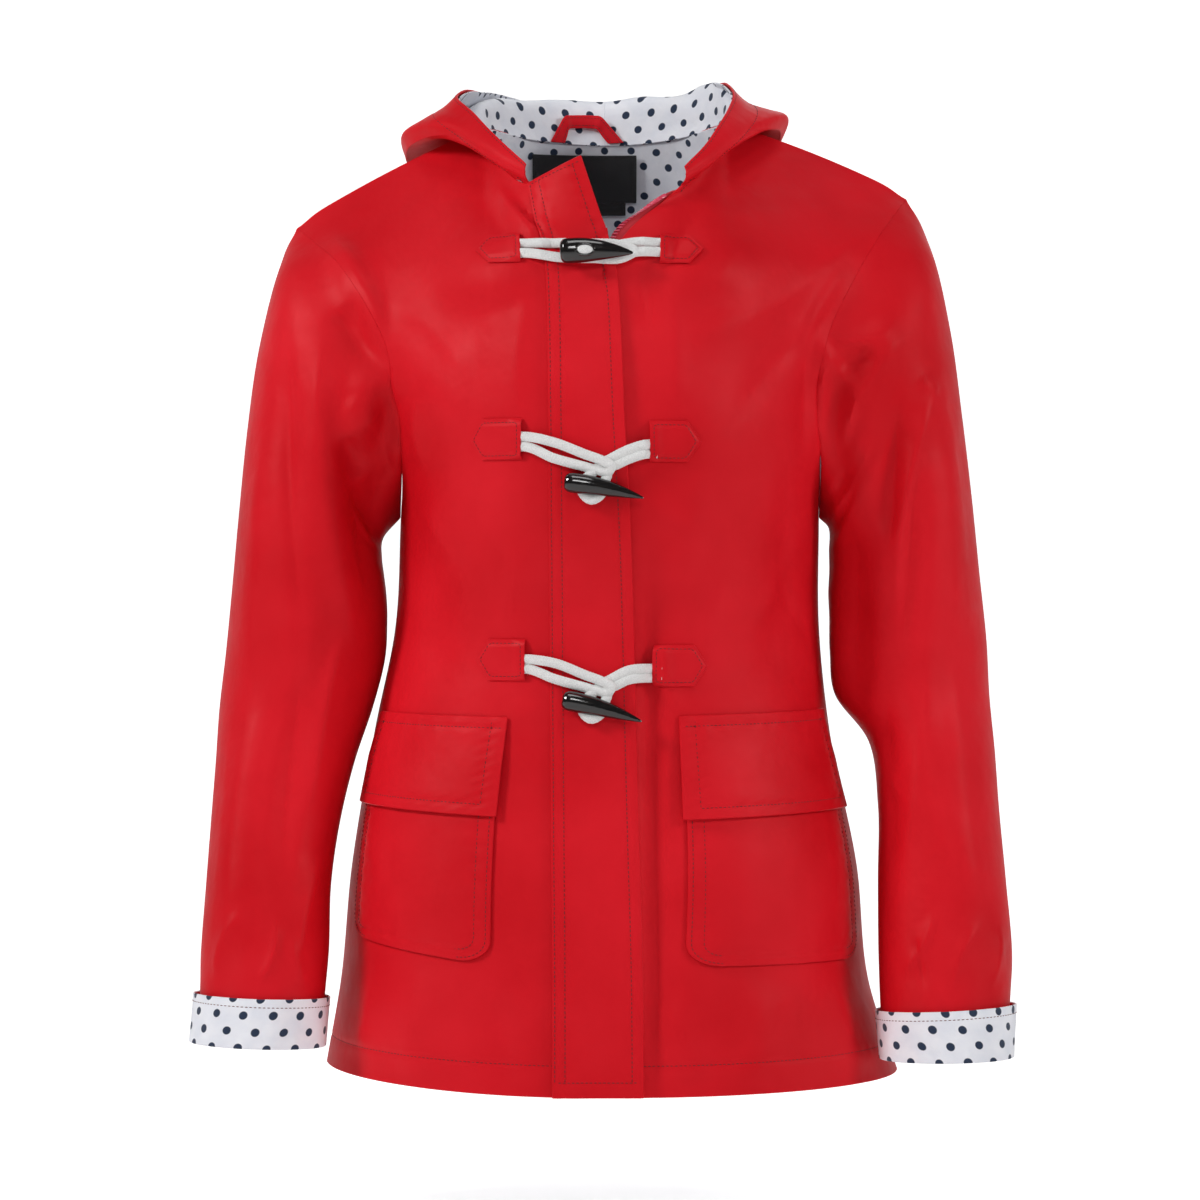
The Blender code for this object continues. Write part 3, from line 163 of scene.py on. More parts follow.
# Creases too fine for the solids, in the same columns: the front, the back, and then the deep
# hollows under the arms and beside the storm flap.
CREASES = table("face x1 z1 x2 z2 width height bow", """
    1 161 -129 203 -117 6 5 4, 1 206 -126 166 -202 6 6 7, 1 167 -149 188 -135 11 -5 0,
    1 154 -135 161 -146 4 2 0, 1 174 -199 187 -212 5 3 -2, 1 187 -212 166 -276 6 4.6 6,
    1 164 -225 178 -232 10 -4 0, 1 221 -154 232 -163 4 2.5 -1, 1 231 -161 206 -310 6 4 7,
    1 205 -183 200 -267 6 -5 0, 1 239 -204 246 -338 11 2.5 0, 1 218 -218 209 -338 7 -3 0,
    1 224 -338 208 -491 10 3.5 -6, 1 245 -352 259 -519 13 2.5 4, 1 199 -380 201 -505 7 -3 0,
    1 195 -411 209 -449 6 2 3, 1 209 -567 229 -529 4 2 3, 1 240 -578 259 -536 5 2 -3,
    1 269 -578 276 -539 4 1.6 2, 1 221 -578 216 -546 3 -1.6 0, 1 -193 -53 -155 -119 6 4.5 -3,
    1 -179 -98 -155 -149 8 -4 3, 1 -180 -170 -164 -186 5 4 3, 1 -171 -172 -146 -222 6 6 -3,
    1 -183 -194 -171 -222 9 -5 0, 1 -201 -135 -179 -331 7 4 7, 1 -225 -126 -211 -338 8 -3 4,
    1 -242 -197 -251 -380 13 2.5 0, 1 -164 -218 -156 -324 8 -4 0, 1 -186 -338 -205 -450 8 3.5 4,
    1 -214 -338 -224 -506 10 -2.5 0, 1 -245 -380 -264 -547 14 2.5 3, 1 -200 -491 -213 -561 6 2.2 3,
    1 -272 -571 -256 -529 4 2 -3, 1 -239 -574 -229 -536 4 2 3, 1 -208 -578 -219 -546 4 1.8 -2,
    1 167 -78 136 -139 6 3 4, 1 153 -121 152 -191 5 2.5 0, 1 144 -128 140 -205 6 -2.5 0,
    1 185 -47 66 -129 11 2.2 -8, 1 169 -102 90 -185 10 -1.8 6, 1 65 -35 31 -104 11 -2 0,
    1 -73 -24 -39 -60 5 4 3, 1 -59 -32 -31 -69 4 -3 2, 1 -86 -27 -69 -58 6 -2 0,
    1 -146 -102 -94 -157 11 2 -7, 1 -141 -185 -104 -282 10 2.2 7, 1 -132 -170 -126 -219 6 2.5 2,
    1 -93 -103 -88 -282 15 -1.5 0, 1 153 -226 95 -337 10 2.2 -7, 1 129 -219 136 -337 10 -2 3,
    1 151 -355 123 -286 4 -1.6 0, 1 65 -220 58 -337 14 1.5 4, 1 29 -316 32 -643 6 -2.6 0,
    1 39 -337 43 -392 7 1.6 0, 1 46 -583 65 -638 12 2 4, 1 106 -577 101 -642 14 2.2 -4,
    1 161 -577 182 -643 11 2.4 4, 1 -162 -577 -176 -629 11 2.2 -3, 1 -127 -567 -133 -643 14 2.2 3,
    1 -72 -583 -69 -645 11 -1.8 0, 1 -55 -104 -60 -186 10 1.5 3, 1 24 -73 34 -124 8 -2.5 3,
    1 43 -76 49 -186 11 1.6 0, 1 -150 -282 -162 -379 10 -2 0, 1 -59 -268 -69 -337 11 1.4 0,
    1 89 -282 69 -344 10 1.6 3, -1 206 -90 168 -150 8 4.5 5, -1 200 -160 168 -214 7 5 6,
    -1 182 -186 168 -226 9 -4 0, -1 228 -170 206 -300 8 4 6, -1 206 -230 200 -300 7 -4 0,
    -1 190 -232 176 -290 6 4.5 5, -1 214 -330 232 -480 9 3 -5, -1 246 -300 258 -500 12 2.5 4,
    -1 222 -560 236 -520 5 2 3, -1 262 -566 250 -528 5 1.8 -3, -1 -200 -80 -166 -150 8 4.5 -5,
    -1 -194 -150 -164 -208 7 5 -6, -1 -178 -180 -166 -222 9 -4 0, -1 -226 -160 -206 -310 8 4 -6,
    -1 -204 -226 -196 -306 7 -4 0, -1 -186 -240 -174 -296 6 4 -5, -1 -212 -330 -230 -470 9 3 5,
    -1 -250 -320 -262 -500 12 2.5 -4, -1 -224 -556 -238 -520 5 2 -3, -1 -264 -560 -252 -524 5 1.8 3,
    -1 150 -120 60 -176 13 2.4 9, -1 -146 -126 -70 -184 13 2.4 -9, -1 146 -210 96 -300 10 2.4 7,
    -1 -142 -214 -92 -306 10 2.4 -7, -1 30 -200 24 -330 12 -1.8 4, -1 -34 -210 -24 -340 13 -1.6 -4,
    -1 140 -330 110 -470 12 2 6, -1 -136 -340 -112 -460 12 2 -6, -1 40 -480 52 -640 14 2.4 4,
    -1 -46 -470 -58 -640 15 2.2 -5, -1 96 -520 92 -642 12 -2 0, -1 -98 -530 -92 -642 12 -2 0,
    -1 168 -560 186 -640 10 2 3, -1 -164 -566 -180 -634 10 2 -3, 1 194 -138 172 -198 9 -5.2 4,
    1 181 -228 169 -292 9 -4 3, 1 205 -180 196 -262 7 -4 3, 1 -160 -180 -149 -226 7 -6.5 0,
    1 -174 -228 -160 -300 8 -5 -3, 1 -188 -108 -166 -140 6 -4 0, 1 31 -300 34 -643 7 -3.4 0,
    1 118 -290 158 -357 2.6 -1.1 0, -1 190 -128 168 -206 8 -6 5, -1 -186 -128 -164 -206 8 -6 -5""")
# Storm flap over the zip, top to hem: the seam side, the free edge, and how far it stands off.
STORM_FLAP = table("seam_x edge_x seam_z edge_z out", """
    -53 -17 -20 -3 4, -48 -4.5 -48 -41 2, -43 2 -66 -60 0.9, -40 9 -98 -98 0.4,
    -38.5 13 -186 -186 0.4, -38 18 -282 -282 0.4, -37 22 -446 -446 0.4, -36 25 -560 -560 0.4,
    -36 26 -650 -649.5 0.4""")
# Patch pockets and their flaps: corners as seen from the front, round from the top left.
POCKETS = {
    Side.LEFT: table("x z", """
        -164 -434, -75 -441, -79 -560, -176 -545"""),
    Side.RIGHT: table("x z", """
        56 -441, 161 -436, 177 -562, 55 -561"""),
}
FLAPS = {
    Side.LEFT: table("x z", """
        -157 -389, -67 -391, -74 -459, -169 -453"""),
    Side.RIGHT: table("x z", """
        51 -390, 153 -387, 166 -457, 53 -461"""),
}
POCKET_FOLDS = table("u1 v1 u2 v2 width height", """
    0.1 0.3 0.5 0.85 0.10 0.7, 0.85 0.25 0.62 0.9 0.09 0.8, 0.35 0.6 0.4 0.95 0.06 -0.5""")
# Toggle fastenings from the top down: the patches, where the cords cross, the toggle's ends.
TOGGLES = table("left_tip left_in left_z right_in right_tip right_z tall cross_x cross_z butt_x "
    "butt_z tip_x tip_z half seat", """
    -89 -58 -67 37.5 67 -68 19.5 -4 -70 -31 -71 19 -72 8.8 2.2,
    -93 -57 -199 30.5 65 -201 27.5 -1 -217 -28 -229 26 -240 6.9 6.5,
    -89 -55 -351 34.5 70 -355 28 -1 -368 -29.5 -378 25 -393 6.9 6.6""")
TOGGLE_PLACES = ("top", "middle", "bottom")
TOGGLE_SHAPE = table("way size", """
    0 0.50, 0.015 0.74, 0.05 0.93, 0.10 1.0, 0.22 1.0, 0.35 0.96, 0.6 0.75, 0.8 0.47, 0.94 0.22,
    0.985 0.12, 1 0.06""")
# Hood laid back round the neck seam, by share of the seam from the left front end to the right.
HOOD_SECTIONS = table("share rise lean reach drop swell rim_out rim_up", """
    0.00 1 1 4 6 0 2 14, 0.07 2 3 13 8 0 6 22, 0.14 3 4 22 7 1 12 26, 0.21 6 5 43 -4 2 19 28,
    0.27 17 3 62 -23 3 9 27, 0.36 30 5 66 -56 7 20 33, 0.43 29 8 66 -112 11 30 29,
    0.50 29 10 66 -150 13 38 21, 0.57 33 8 66 -112 11 30 33, 0.64 36 5 60 -52 5 17 38,
    0.73 20 2 42 -11 0 -3 29, 0.79 6 4 35 0 1 6 29, 0.86 3 4 22 7 0 8 26, 0.93 2 3 13 8 0 6 22,
    1.00 1 1 5 6 0 2 14""")
# Soft folds of the hood's cloth and of its lining, by share of the neck seam and share of height.
HOOD_FOLDS = table("u1 v1 u2 v2 width height", """
    0.10 0.55 0.22 0.95 0.030 1.8, 0.20 0.25 0.26 0.80 0.026 -2.0, 0.30 0.60 0.36 1.00 0.022 2.2,
    0.40 0.62 0.41 0.98 0.020 -1.8, 0.47 0.60 0.46 0.92 0.018 2.0, 0.56 0.64 0.58 0.99 0.022 -1.9,
    0.63 0.58 0.61 0.90 0.020 2.2, 0.70 0.50 0.66 0.99 0.022 -1.6, 0.78 0.30 0.74 0.85 0.026 2.0,
    0.88 0.50 0.80 0.95 0.030 -1.6""")
LINING_FOLDS = table("u1 v1 u2 v2 width height", """
    0.24 0.80 0.30 1.00 0.014 -2.0, 0.31 0.72 0.35 0.99 0.012 -2.4, 0.38 0.78 0.39 1.00 0.012 -2.0,
    0.435 0.7 0.44 0.97 0.011 -2.4, 0.48 0.78 0.478 1.0 0.008 -2.2, 0.505 0.74 0.503 1.0 0.007 -2.8,
    0.525 0.8 0.528 1.0 0.007 -2.2, 0.56 0.72 0.565 0.98 0.012 -2.2, 0.61 0.76 0.60 1.00 0.012 -2.4,
    0.66 0.70 0.64 0.99 0.013 -2.0, 0.73 0.74 0.70 1.00 0.013 -1.8, 0.42 0.10 0.50 0.16 0.03 -1.6,
    0.52 0.18 0.60 0.11 0.03 -1.6""")
HANGER = table("outer_x outer_z inner_x inner_z", """
    -40 25.5 -30 25.5, -29.5 45.5 -26.5 37, -16 46 -16 37.5, -3 45.5 -6 37, 14 25.5 3 25.5""")
RELIEF = {name: np.concatenate([FOLDS[name], CREASES[name]]) for name in FOLDS}
RELIEF["crisp"] = np.arange(len(RELIEF["face"])) >= len(FOLDS["face"])
CREASE_SCALE, MOST_RELIEF = 1.5, 8.0
CRISP, TIP = 1.3, 0.13                    # how fast a crease falls off, and how round its line is
RELIEF["height"][RELIEF["crisp"]] *= CREASE_SCALE


# ---- curves

def along(knots: Array, values: Array, at: Array) -> Array:
    """Cubic Hermite through values at the knots, with slopes from their neighbours.

    Args:
        knots: places of the values, rising.
        values: (knot, point, axis).
        at: one place for each point.

    Returns:
        (point, axis).
    """
    slopes = np.gradient(values, knots, axis=0)
    index = np.clip(np.searchsorted(knots, at, side="right") - 1, 0, len(knots) - 2)
    step = knots[index + 1] - knots[index]
    t = ((at - knots[index]) / step)[:, None]
    point = np.arange(len(at))
    low, high = values[index, point], values[index + 1, point]
    low_slope = slopes[index, point] * step[:, None]
    high_slope = slopes[index + 1, point] * step[:, None]
    return ((2 * t**3 - 3 * t**2 + 1) * low + (t**3 - 2 * t**2 + t) * low_slope
            + (3 * t**2 - 2 * t**3) * high + (t**3 - t**2) * high_slope)


def curve(knots: Array, values: Array, at: Array) -> Array:
    """One smooth curve through values (knot, axis), read at each place in at."""
    at, knots = np.asarray(at, float), np.asarray(knots, float)
    values = np.asarray(values, float)
    return along(knots, np.repeat(values[:, None], len(at), axis=1), at)


def refined(grid: Array, rows: int, columns: int) -> Array:
    """A grid (row, column, axis) carried to more rows and columns by smooth curves."""
    down = np.linspace(0, len(grid) - 1, rows)
    tall = curve(np.arange(len(grid)), grid.reshape(len(grid), -1), down)
    tall = tall.reshape(rows, *grid.shape[1:]).transpose(1, 0, 2)
    wide = curve(np.arange(len(tall)), tall.reshape(len(tall), -1),
                 np.linspace(0, len(tall) - 1, columns))
    return wide.reshape(columns, rows, -1).transpose(1, 0, 2)


def columns_of(rows: Table, *names: str) -> Array:
    """The named columns side by side, a row per table row."""
    return np.stack([rows[name] for name in names], axis=1)


def unit(vectors: Array) -> Array:
    """The vectors at length one."""
    return vectors / np.maximum(np.linalg.norm(vectors, axis=-1, keepdims=True), 1e-9)


def walked(points: Array, axis: int = 0) -> Array:
    """Length walked along points up to each of them, from zero."""
    steps = np.linalg.norm(np.diff(points, axis=axis), axis=-1)
    start = np.zeros_like(np.take(steps, [0], axis=axis))
    return np.concatenate([start, np.cumsum(steps, axis=axis)], axis=axis)


def smooth_path(corners: list | Array, count: int) -> Array:
    """A smooth line of so many points through the corners, evenly spaced."""
    corners = np.array(corners, float)
    knots = walked(corners)
    return curve(knots, corners, np.linspace(0, knots[-1], count))


def spaced(path: Array, pitch: float, *more: Array) -> list[Array]:
    """The path, and arrays that go with it, resampled so that its points are a pitch apart."""
    length = walked(path)
    at = np.linspace(0, length[-1], max(2, round(length[-1] / pitch) + 1))
    return [np.stack([np.interp(at, length, a[:, i]) for i in range(a.shape[1])], 1)
            for a in (path, *more)]


def bump(x: Array, width: float) -> Array:
    """A smooth hump of height one about zero: e to the minus (x over width) squared."""
    return np.exp(-(x / width)**2)


# ---- the cut

@dataclass(frozen=True)
class Panel:
    """One half of a front or the back, as a smooth function of share of width and height."""

    side: Side
    back: bool = False

    @property
    def outward(self) -> int:
        """Sign that turns the surface's own normals outward."""
        return -int(self.side) if self.back else int(self.side)

    def edge(self) -> Pair:
        """Points of side seam and armhole, a row per height, and the turn of the cloth there."""
        seam = SIDE_SEAM[self.side]
        armhole = (ARMHOLE_BACK if self.back else ARMHOLE_FRONT)[self.side]
        edge = np.concatenate([columns_of(seam, *"xyz"), columns_of(armhole, *"xyz")])
        turn = np.concatenate([np.full(len(seam["x"]), 90.0), armhole["turn"]])
        return edge, np.radians(turn)

    def top(self, share: Array) -> Array:
        """The neck edge, a smooth curve, and then the straight shoulder seam, crowned by 3 mm."""
        top = (BACK_TOP if self.back else FRONT_TOP)[self.side]
        points = columns_of(top, *"xyz")
        neck = curve(top["share"][:-1], points[:-1], np.minimum(share, NECK_SHARE))
        way = np.clip((share - NECK_SHARE) / (1 - NECK_SHARE), 0, 1)[:, None]
        crown = 3.0 * np.sin(np.pi * way) * np.array([0, 0, 1.0])
        shoulder = points[-2] + (points[-1] - points[-2]) * way + crown
        return np.where(share[:, None] > NECK_SHARE, shoulder, neck)

    def rows(self, share: Array) -> Array:
        """Row curves: a cubic Bezier from middle edge to outer edge at each table height."""
        edge, turn = self.edge()
        rows = BACK_MIDDLE if self.back else FRONT_MIDDLE
        middle_x = np.zeros(len(edge)) if self.back else rows[self.side.word + "_x"]
        middle = np.stack([middle_x, rows["y"], rows["z"]], axis=1)
        span = edge - middle
        zero = np.zeros(len(edge))
        near = middle + np.stack([rows["full"] * span[:, 0], zero, zero], axis=1)
        bend = np.stack([np.cos(turn) * span[:, 0], np.sin(turn) * span[:, 1], zero], axis=1)
        far = edge - rows["full"][:, None] * bend
        t = share[None, :, None]
        made = ((1 - t)**3 * middle[:, None] + 3 * t * (1 - t)**2 * near[:, None]
                + 3 * t**2 * (1 - t) * far[:, None] + t**3 * edge[:, None])
        made[-1] = self.top(share)
        return made

    def plain(self, share: Array, height: Array) -> Array:
        """The unfolded panel; its outer edge turns a corner at the armpit."""
        rows = self.rows(share)
        low, high = slice(None, ARMPIT_ROW + 1), slice(ARMPIT_ROW, None)
        smooth = along(ROW_HEIGHTS, rows, height)
        under = along(ROW_HEIGHTS[low], rows[low], height)
        over = along(ROW_HEIGHTS[high], rows[high], height)
        cornered = np.where(height[:, None] <= ROW_HEIGHTS[ARMPIT_ROW], under, over)
        return smooth + (cornered - smooth) * share[:, None]**3

    def normal(self, surface: Surface, share: Array, height: Array) -> Array:
        """Outward unit normals of a surface function, from steps along its two parameters."""
        across = surface(share + 1e-3, height) - surface(share - 1e-3, height)
        up = surface(share, height + 0.5) - surface(share, height - 0.5)
        return self.outward * unit(np.cross(across, up))

    def skin(self, share: Array, height: Array) -> Array:
        """The panel with its folds: each point moved along its normal by the relief there."""
        points = self.plain(share, height)
        return folded(points, self.normal(self.plain, share, height))

    def sheet(self, place: Pair, shape: tuple) -> Pair:
        """Folded points and outward normals at places (share, height), in a grid of this shape."""
        place = [values.ravel() for values in place]
        return tuple(values.reshape(*shape, 3)
                     for values in (self.skin(*place), self.normal(self.skin, *place)))

    def locate(self, x: Array, z: Array) -> Pair:
        """Share and height of the places that show at x and z from the front, by Newton steps."""
        x, z = np.asarray(x, float).ravel(), np.asarray(z, float).ravel()
        shares, heights = (g.ravel() for g in np.meshgrid(np.linspace(0, 1, 41),
                                                          np.linspace(0, HEM_HEIGHT, 101)))
        sample = self.plain(shares, heights)
        best = np.concatenate([((sample[None, :, 0] - a[:, None])**2
                                + (sample[None, :, 2] - b[:, None])**2).argmin(axis=1)
                               for a, b in zip(np.array_split(x, 1 + len(x) // 400),
                                               np.array_split(z, 1 + len(z) // 400))])
        share, height = shares[best], heights[best]
        for _ in range(5):
            here = self.skin(share, height)[:, [0, 2]]
            by_share = (self.skin(share + 1e-3, height)[:, [0, 2]] - here) / 1e-3
            by_height = (self.skin(share, height + 0.5)[:, [0, 2]] - here) / 0.5
            off = np.stack([x, z], axis=1) - here
            scale = by_share[:, 0] * by_height[:, 1] - by_share[:, 1] * by_height[:, 0]
            share = share + (off[:, 0] * by_height[:, 1] - off[:, 1] * by_height[:, 0]) / scale
            height = height + (by_share[:, 0] * off[:, 1] - by_share[:, 1] * off[:, 0]) / scale
            share, height = np.clip(share, 0, 1), np.clip(height, 0, HEM_HEIGHT)
        return share, height


def relief(points: Array, facing: Array) -> Array:
    """How far the folds and creases lift each point.

    A fold is its height times e to the minus (distance from its bowed line over its width) squared.
    A crease falls off by the plain distance instead, rounded at its line, which keeps it crisp.
    Both fade past their ends and where the cloth turns away from the side that they are seen from.
    Where several pile up, their sum levels off by a hyperbolic tangent.
    """
    height = np.zeros(len(points))
    for face, x1, z1, x2, z2, width, tall, bow, crisp in zip(*RELIEF.values()):
        start, way = np.array([x1, z1]), np.array([x2 - x1, z2 - z1])
        length = np.hypot(*way)
        off = points[:, [0, 2]] - start
        t = off @ way / length**2
        beside = (off[:, 0] * way[1] - off[:, 1] * way[0]) / length - 4 * bow * t * (1 - t)
        seen = np.clip((-face * facing[:, 1] - 0.1) / 0.5, 0, 1)
        away = (beside / width)**2
        fall = CRISP * (np.sqrt(away + TIP) - np.sqrt(TIP)) if crisp else away
        height += tall * np.exp(-fall - ((t - 0.5) / 0.45)**4) * seen**2
    return MOST_RELIEF * np.tanh(height / MOST_RELIEF)


def folded(points: Array, normals: Array) -> Array:
    """The points moved along their normals by the relief."""
    return points + normals * relief(points, normals)[:, None]


def panel_depth(x: Array, z: Array, back: bool = False) -> Array:
    """How far forward (y) the front, or how far back the back, reaches at each x and z."""
    x, z = np.asarray(x, float).ravel(), np.asarray(z, float).ravel()
    depth = np.empty(len(x))
    edge = 0.0 if back else 4.0
    for side in Side:
        mine = (x < 0) == (side is Side.LEFT)
        if mine.any():
            panel = Panel(side, back)
            place = panel.locate(side * np.maximum(side * x[mine], edge), z[mine])
            depth[mine] = panel.skin(*place)[:, 1]
    return depth


def on_front(side: Side, corners: Table, across: Array, down: Array) -> Pair:
    """Points and outward normals on a front inside four corners, blended across and down."""
    panel = Panel(side)
    spots = panel.locate(corners["x"], corners["z"])
    return panel.sheet([corner_blend(values, across, down) for values in spots], across.shape)


def corner_blend(corners: Array, across: Array, down: Array) -> Array:
    """Places between four corners, given round from the first, by share across and down."""
    a, b, c, d = corners
    return (a * (1 - across) * (1 - down) + b * across * (1 - down)
            + c * across * down + d * (1 - across) * down)


def strokes(rows: Table, u: Array, v: Array, squash: float) -> Array:
    """Height of a table of soft ridges and troughs over a sheet.

    Each is its height times e to the minus (distance beside its line over its width) squared,
    fading past its ends; v counts squash times as much as u in that distance.
    """
    height = np.zeros(np.broadcast(u, v).shape)
    for u1, v1, u2, v2, width, tall in zip(*rows.values()):
        way = np.array([u2 - u1, (v2 - v1) * squash])
        length = np.hypot(*way)
        off_u, off_v = u - u1, (v - v1) * squash
        t = (off_u * way[0] + off_v * way[1]) / length**2
        beside = (off_u * way[1] - off_v * way[0]) / length
        height += tall * np.exp(-(beside / width)**2 - ((t - 0.5) / 0.46)**4)
    return height


def seam_dent(beside: Array, along_it: Array, deep: float = 0.45) -> Array:
    """Dent of a sewn line and the small puckers that the thread draws up on both sides of it."""
    pucker = np.sin(2 * np.pi * along_it / 10.5 + 1.7 * np.sin(along_it / 23))
    return -deep * bump(beside, 1.7) + 0.24 * pucker * bump(beside, 4.5)


def facing_front(grid: Array) -> Array:
    """Normals of a grid, turned to the front."""
    facing = grid_normals(grid, False)
    return facing * np.sign(-facing[..., 1:2])


def armhole_loop(side: Side, share: Array) -> Array:
    """Points round the armhole: share 0 at the shoulder, 1 at the armpit, 2 back at the top."""
    down = np.where(share <= 1, share, 2 - share)
    height = HEM_HEIGHT - down * (HEM_HEIGHT - ROW_HEIGHTS[ARMPIT_ROW])
    ones = np.ones(len(share))
    return np.where(share[:, None] <= 1, Panel(side).plain(ones, height),
                    Panel(side, True).plain(ones, height))


def plain_sleeve(side: Side, share: Array, length: Array) -> Array:
    """The unfolded sleeve: a smooth loft from the armhole through leaning oval sections.

    Args:
        side: which sleeve.
        share: place round the sleeve, 0 to 2, as round the armhole.
        length: share of its length, 0 at the armhole.

    Returns:
        (point, axis).
    """
    rows = SLEEVE_SECTIONS[side]
    fine = np.linspace(0, 2, 201)
    way = walked(armhole_loop(side, fine))
    half = way[100]
    turned = np.where(fine <= 1, way / half, 1 + (way - half) / (way[-1] - half))
    centre = columns_of(rows, *"xyz")
    lean = np.radians(rows["lean"])
    across = np.stack([side * np.cos(lean), 0 * lean, np.sin(lean)], axis=1)
    angle = np.pi * np.interp(share, fine, turned)
    wide = rows["wide"][:, None, None] * across[:, None] * np.cos(angle)[None, :, None]
    deep = rows["deep"][:, None, None] * np.sin(angle)[None, :, None] * np.array([0, -1.0, 0])
    rings = np.concatenate([armhole_loop(side, share)[None], centre[:, None] + wide + deep])
    ring_at = walked(np.concatenate([rings[:1].mean(axis=1), centre]))
    return along(ring_at / ring_at[-1], rings, length)


def grid_normals(grid: Array, wraps: bool) -> Array:
    """Unit normals of a grid (row, column, axis), the cross of its steps across and up."""
    across = (np.roll(grid, -1, axis=1) - np.roll(grid, 1, axis=1) if wraps
              else np.gradient(grid, axis=1))
    return unit(np.cross(across, np.gradient(grid, axis=0)))


def share_seams(grids: list[Array], normals: list[Array]) -> tuple[list[Array], list[Array]]:
    """Average the normals of points that panels share, so that their walls meet at a mitre.

    Returns:
        The averaged normals, and how alike each is to the panel's own, from 0 to 1.
    """
    points = np.concatenate([g.reshape(-1, 3) for g in grids])
    facing = np.concatenate([n.reshape(-1, 3) for n in normals])
    _, same = np.unique(np.round(points, 3), axis=0, return_inverse=True)
    same = same.reshape(-1)
    total = np.stack([np.bincount(same, facing[:, i]) for i in range(3)], axis=1)
    averaged = unit(total[same])
    alike = np.clip((np.einsum("ij,ij->i", facing, averaged) - 0.5) / 0.3, 0, 1)[:, None]
    ends = np.cumsum([0] + [g.shape[0] * g.shape[1] for g in grids])
    spans = list(zip(ends, ends[1:], grids))
    return ([averaged[a:b].reshape(g.shape) for a, b, g in spans],
            [alike[a:b].reshape(g.shape[:2] + (1,)) for a, b, g in spans])


def trimmed(grid: Array, wraps: bool, gap: float) -> Array:
    """The grid with its free edges drawn in along the cloth by the gap."""
    grid = grid.copy()
    grid[0] += unit(grid[1] - grid[0]) * gap
    grid[-1] += unit(grid[-2] - grid[-1]) * gap
    if not wraps:
        grid[:, 0] += unit(grid[:, 1] - grid[:, 0]) * gap
        grid[:, -1] += unit(grid[:, -2] - grid[:, -1]) * gap
    return grid


# ---- finishes

class NodeSheet:
    """A material's node tree, with short ways to add and join nodes."""

    def __init__(self, name: str) -> None:
        """Start a material that holds one Principled shader."""
        self.material = bpy.data.materials.new(name)
        self.material.use_nodes = True
        self.tree = self.material.node_tree
        self.shader = self.tree.nodes["Principled BSDF"]

    def add(self, kind: str, inputs: dict | None = None, **settings) -> bpy.types.Node:
        """A new node with its settings; an input value that is a socket is linked."""
        node = self.tree.nodes.new("ShaderNode" + kind)
        for name, value in settings.items():
            setattr(node, name, value)
        for name, value in (inputs or {}).items():
            self.put(node.inputs[name], value)
        return node

    def put(self, target: Socket, value) -> None:
        """Link a socket to the node's input, or set a plain value there."""
        if isinstance(value, Socket):
            self.tree.links.new(value, target)
        else:
            target.default_value = value

    def math(self, operation: str, first, second=0.0) -> Socket:
        """The result of a Math node on sockets or numbers."""
        return self.add("Math", {0: first, 1: second}, operation=operation).outputs[0]

    def mix(self, share, first, second) -> Socket:
        """A colour between two, by a share."""
        return self.add("Mix", {0: share, 6: first, 7: second}, data_type="RGBA").outputs[2]

    def weave(self, first: Socket, second: Socket, turns: float) -> Socket:
        """The product of two sines, of so many radians a metre along each coordinate."""
        return self.math("MULTIPLY", self.math("SINE", self.math("MULTIPLY", first, turns)),
                         self.math("SINE", self.math("MULTIPLY", second, turns)))

    def parts(self) -> list[Socket]:
        """The three object coordinates."""
        return self.add("SeparateXYZ", {0: self.place()}).outputs

    def place(self, which: str = "Object") -> Socket:
        """Object or UV coordinates."""
        return self.add("TexCoord").outputs[which]

    def noise(self, scale: float, detail: float = 2.0, where=None) -> Socket:
        """Noise with so many features a metre."""
        return self.add("TexNoise", {"Vector": where or self.place(), "Scale": scale,
                                     "Detail": detail}).outputs["Fac"]

    def range(self, value, low: float, high: float, to_low: float,
              to_high: float) -> Socket:
        """The value carried from one range to another."""
        return self.add("MapRange", {"Value": value, "From Min": low, "From Max": high,
                                     "To Min": to_low, "To Max": to_high}).outputs[0]

    def raise_by(self, height, depth: float, under=None) -> Socket:
        """A bump of so many metres on top of another bump."""
        inputs = {"Height": height, "Strength": 1.0, "Distance": depth}
        if under is not None:
            inputs["Normal"] = under
        return self.add("Bump", inputs).outputs[0]

    def finish(self, **sockets) -> Material:
        """Set or link the shader's own sockets and give the material."""
        for name, value in sockets.items():
            self.put(self.shader.inputs[name.replace("_", " ")], value)
        return self.material


@dataclass(frozen=True)
class CoatedCloth:
    """Satin waterproof coating on a fine woven ground."""

    name: str = "coated_red"
    lit: tuple = (0.72, 0.010, 0.020, 1)
    deep: tuple = (0.58, 0.004, 0.010, 1)
    rough: float = 0.47

    def build(self) -> Material:
        """Cloudy red, a soft crumple, the ground's fine weave, and roughness that drifts."""
        sheet = NodeSheet(self.name)
        cloud = sheet.noise(9, 3)
        tint = sheet.mix(sheet.range(cloud, 0.3, 0.7, 0, 1), self.deep, self.lit)
        crumple = sheet.raise_by(sheet.noise(26, 3), 0.0016)
        pebble = sheet.raise_by(sheet.noise(190, 2), 0.00009, crumple)
        parts = sheet.parts()
        fine = sheet.raise_by(sheet.weave(parts[0], parts[2], 5200), 0.000022, pebble)
        rough = sheet.range(sheet.noise(40, 4), 0.3, 0.7, self.rough - 0.05, self.rough + 0.06)
        return sheet.finish(Base_Color=tint, Roughness=rough, Normal=fine,
                            Specular_IOR_Level=0.24, Specular_Tint=(1, 0.40, 0.40, 1))


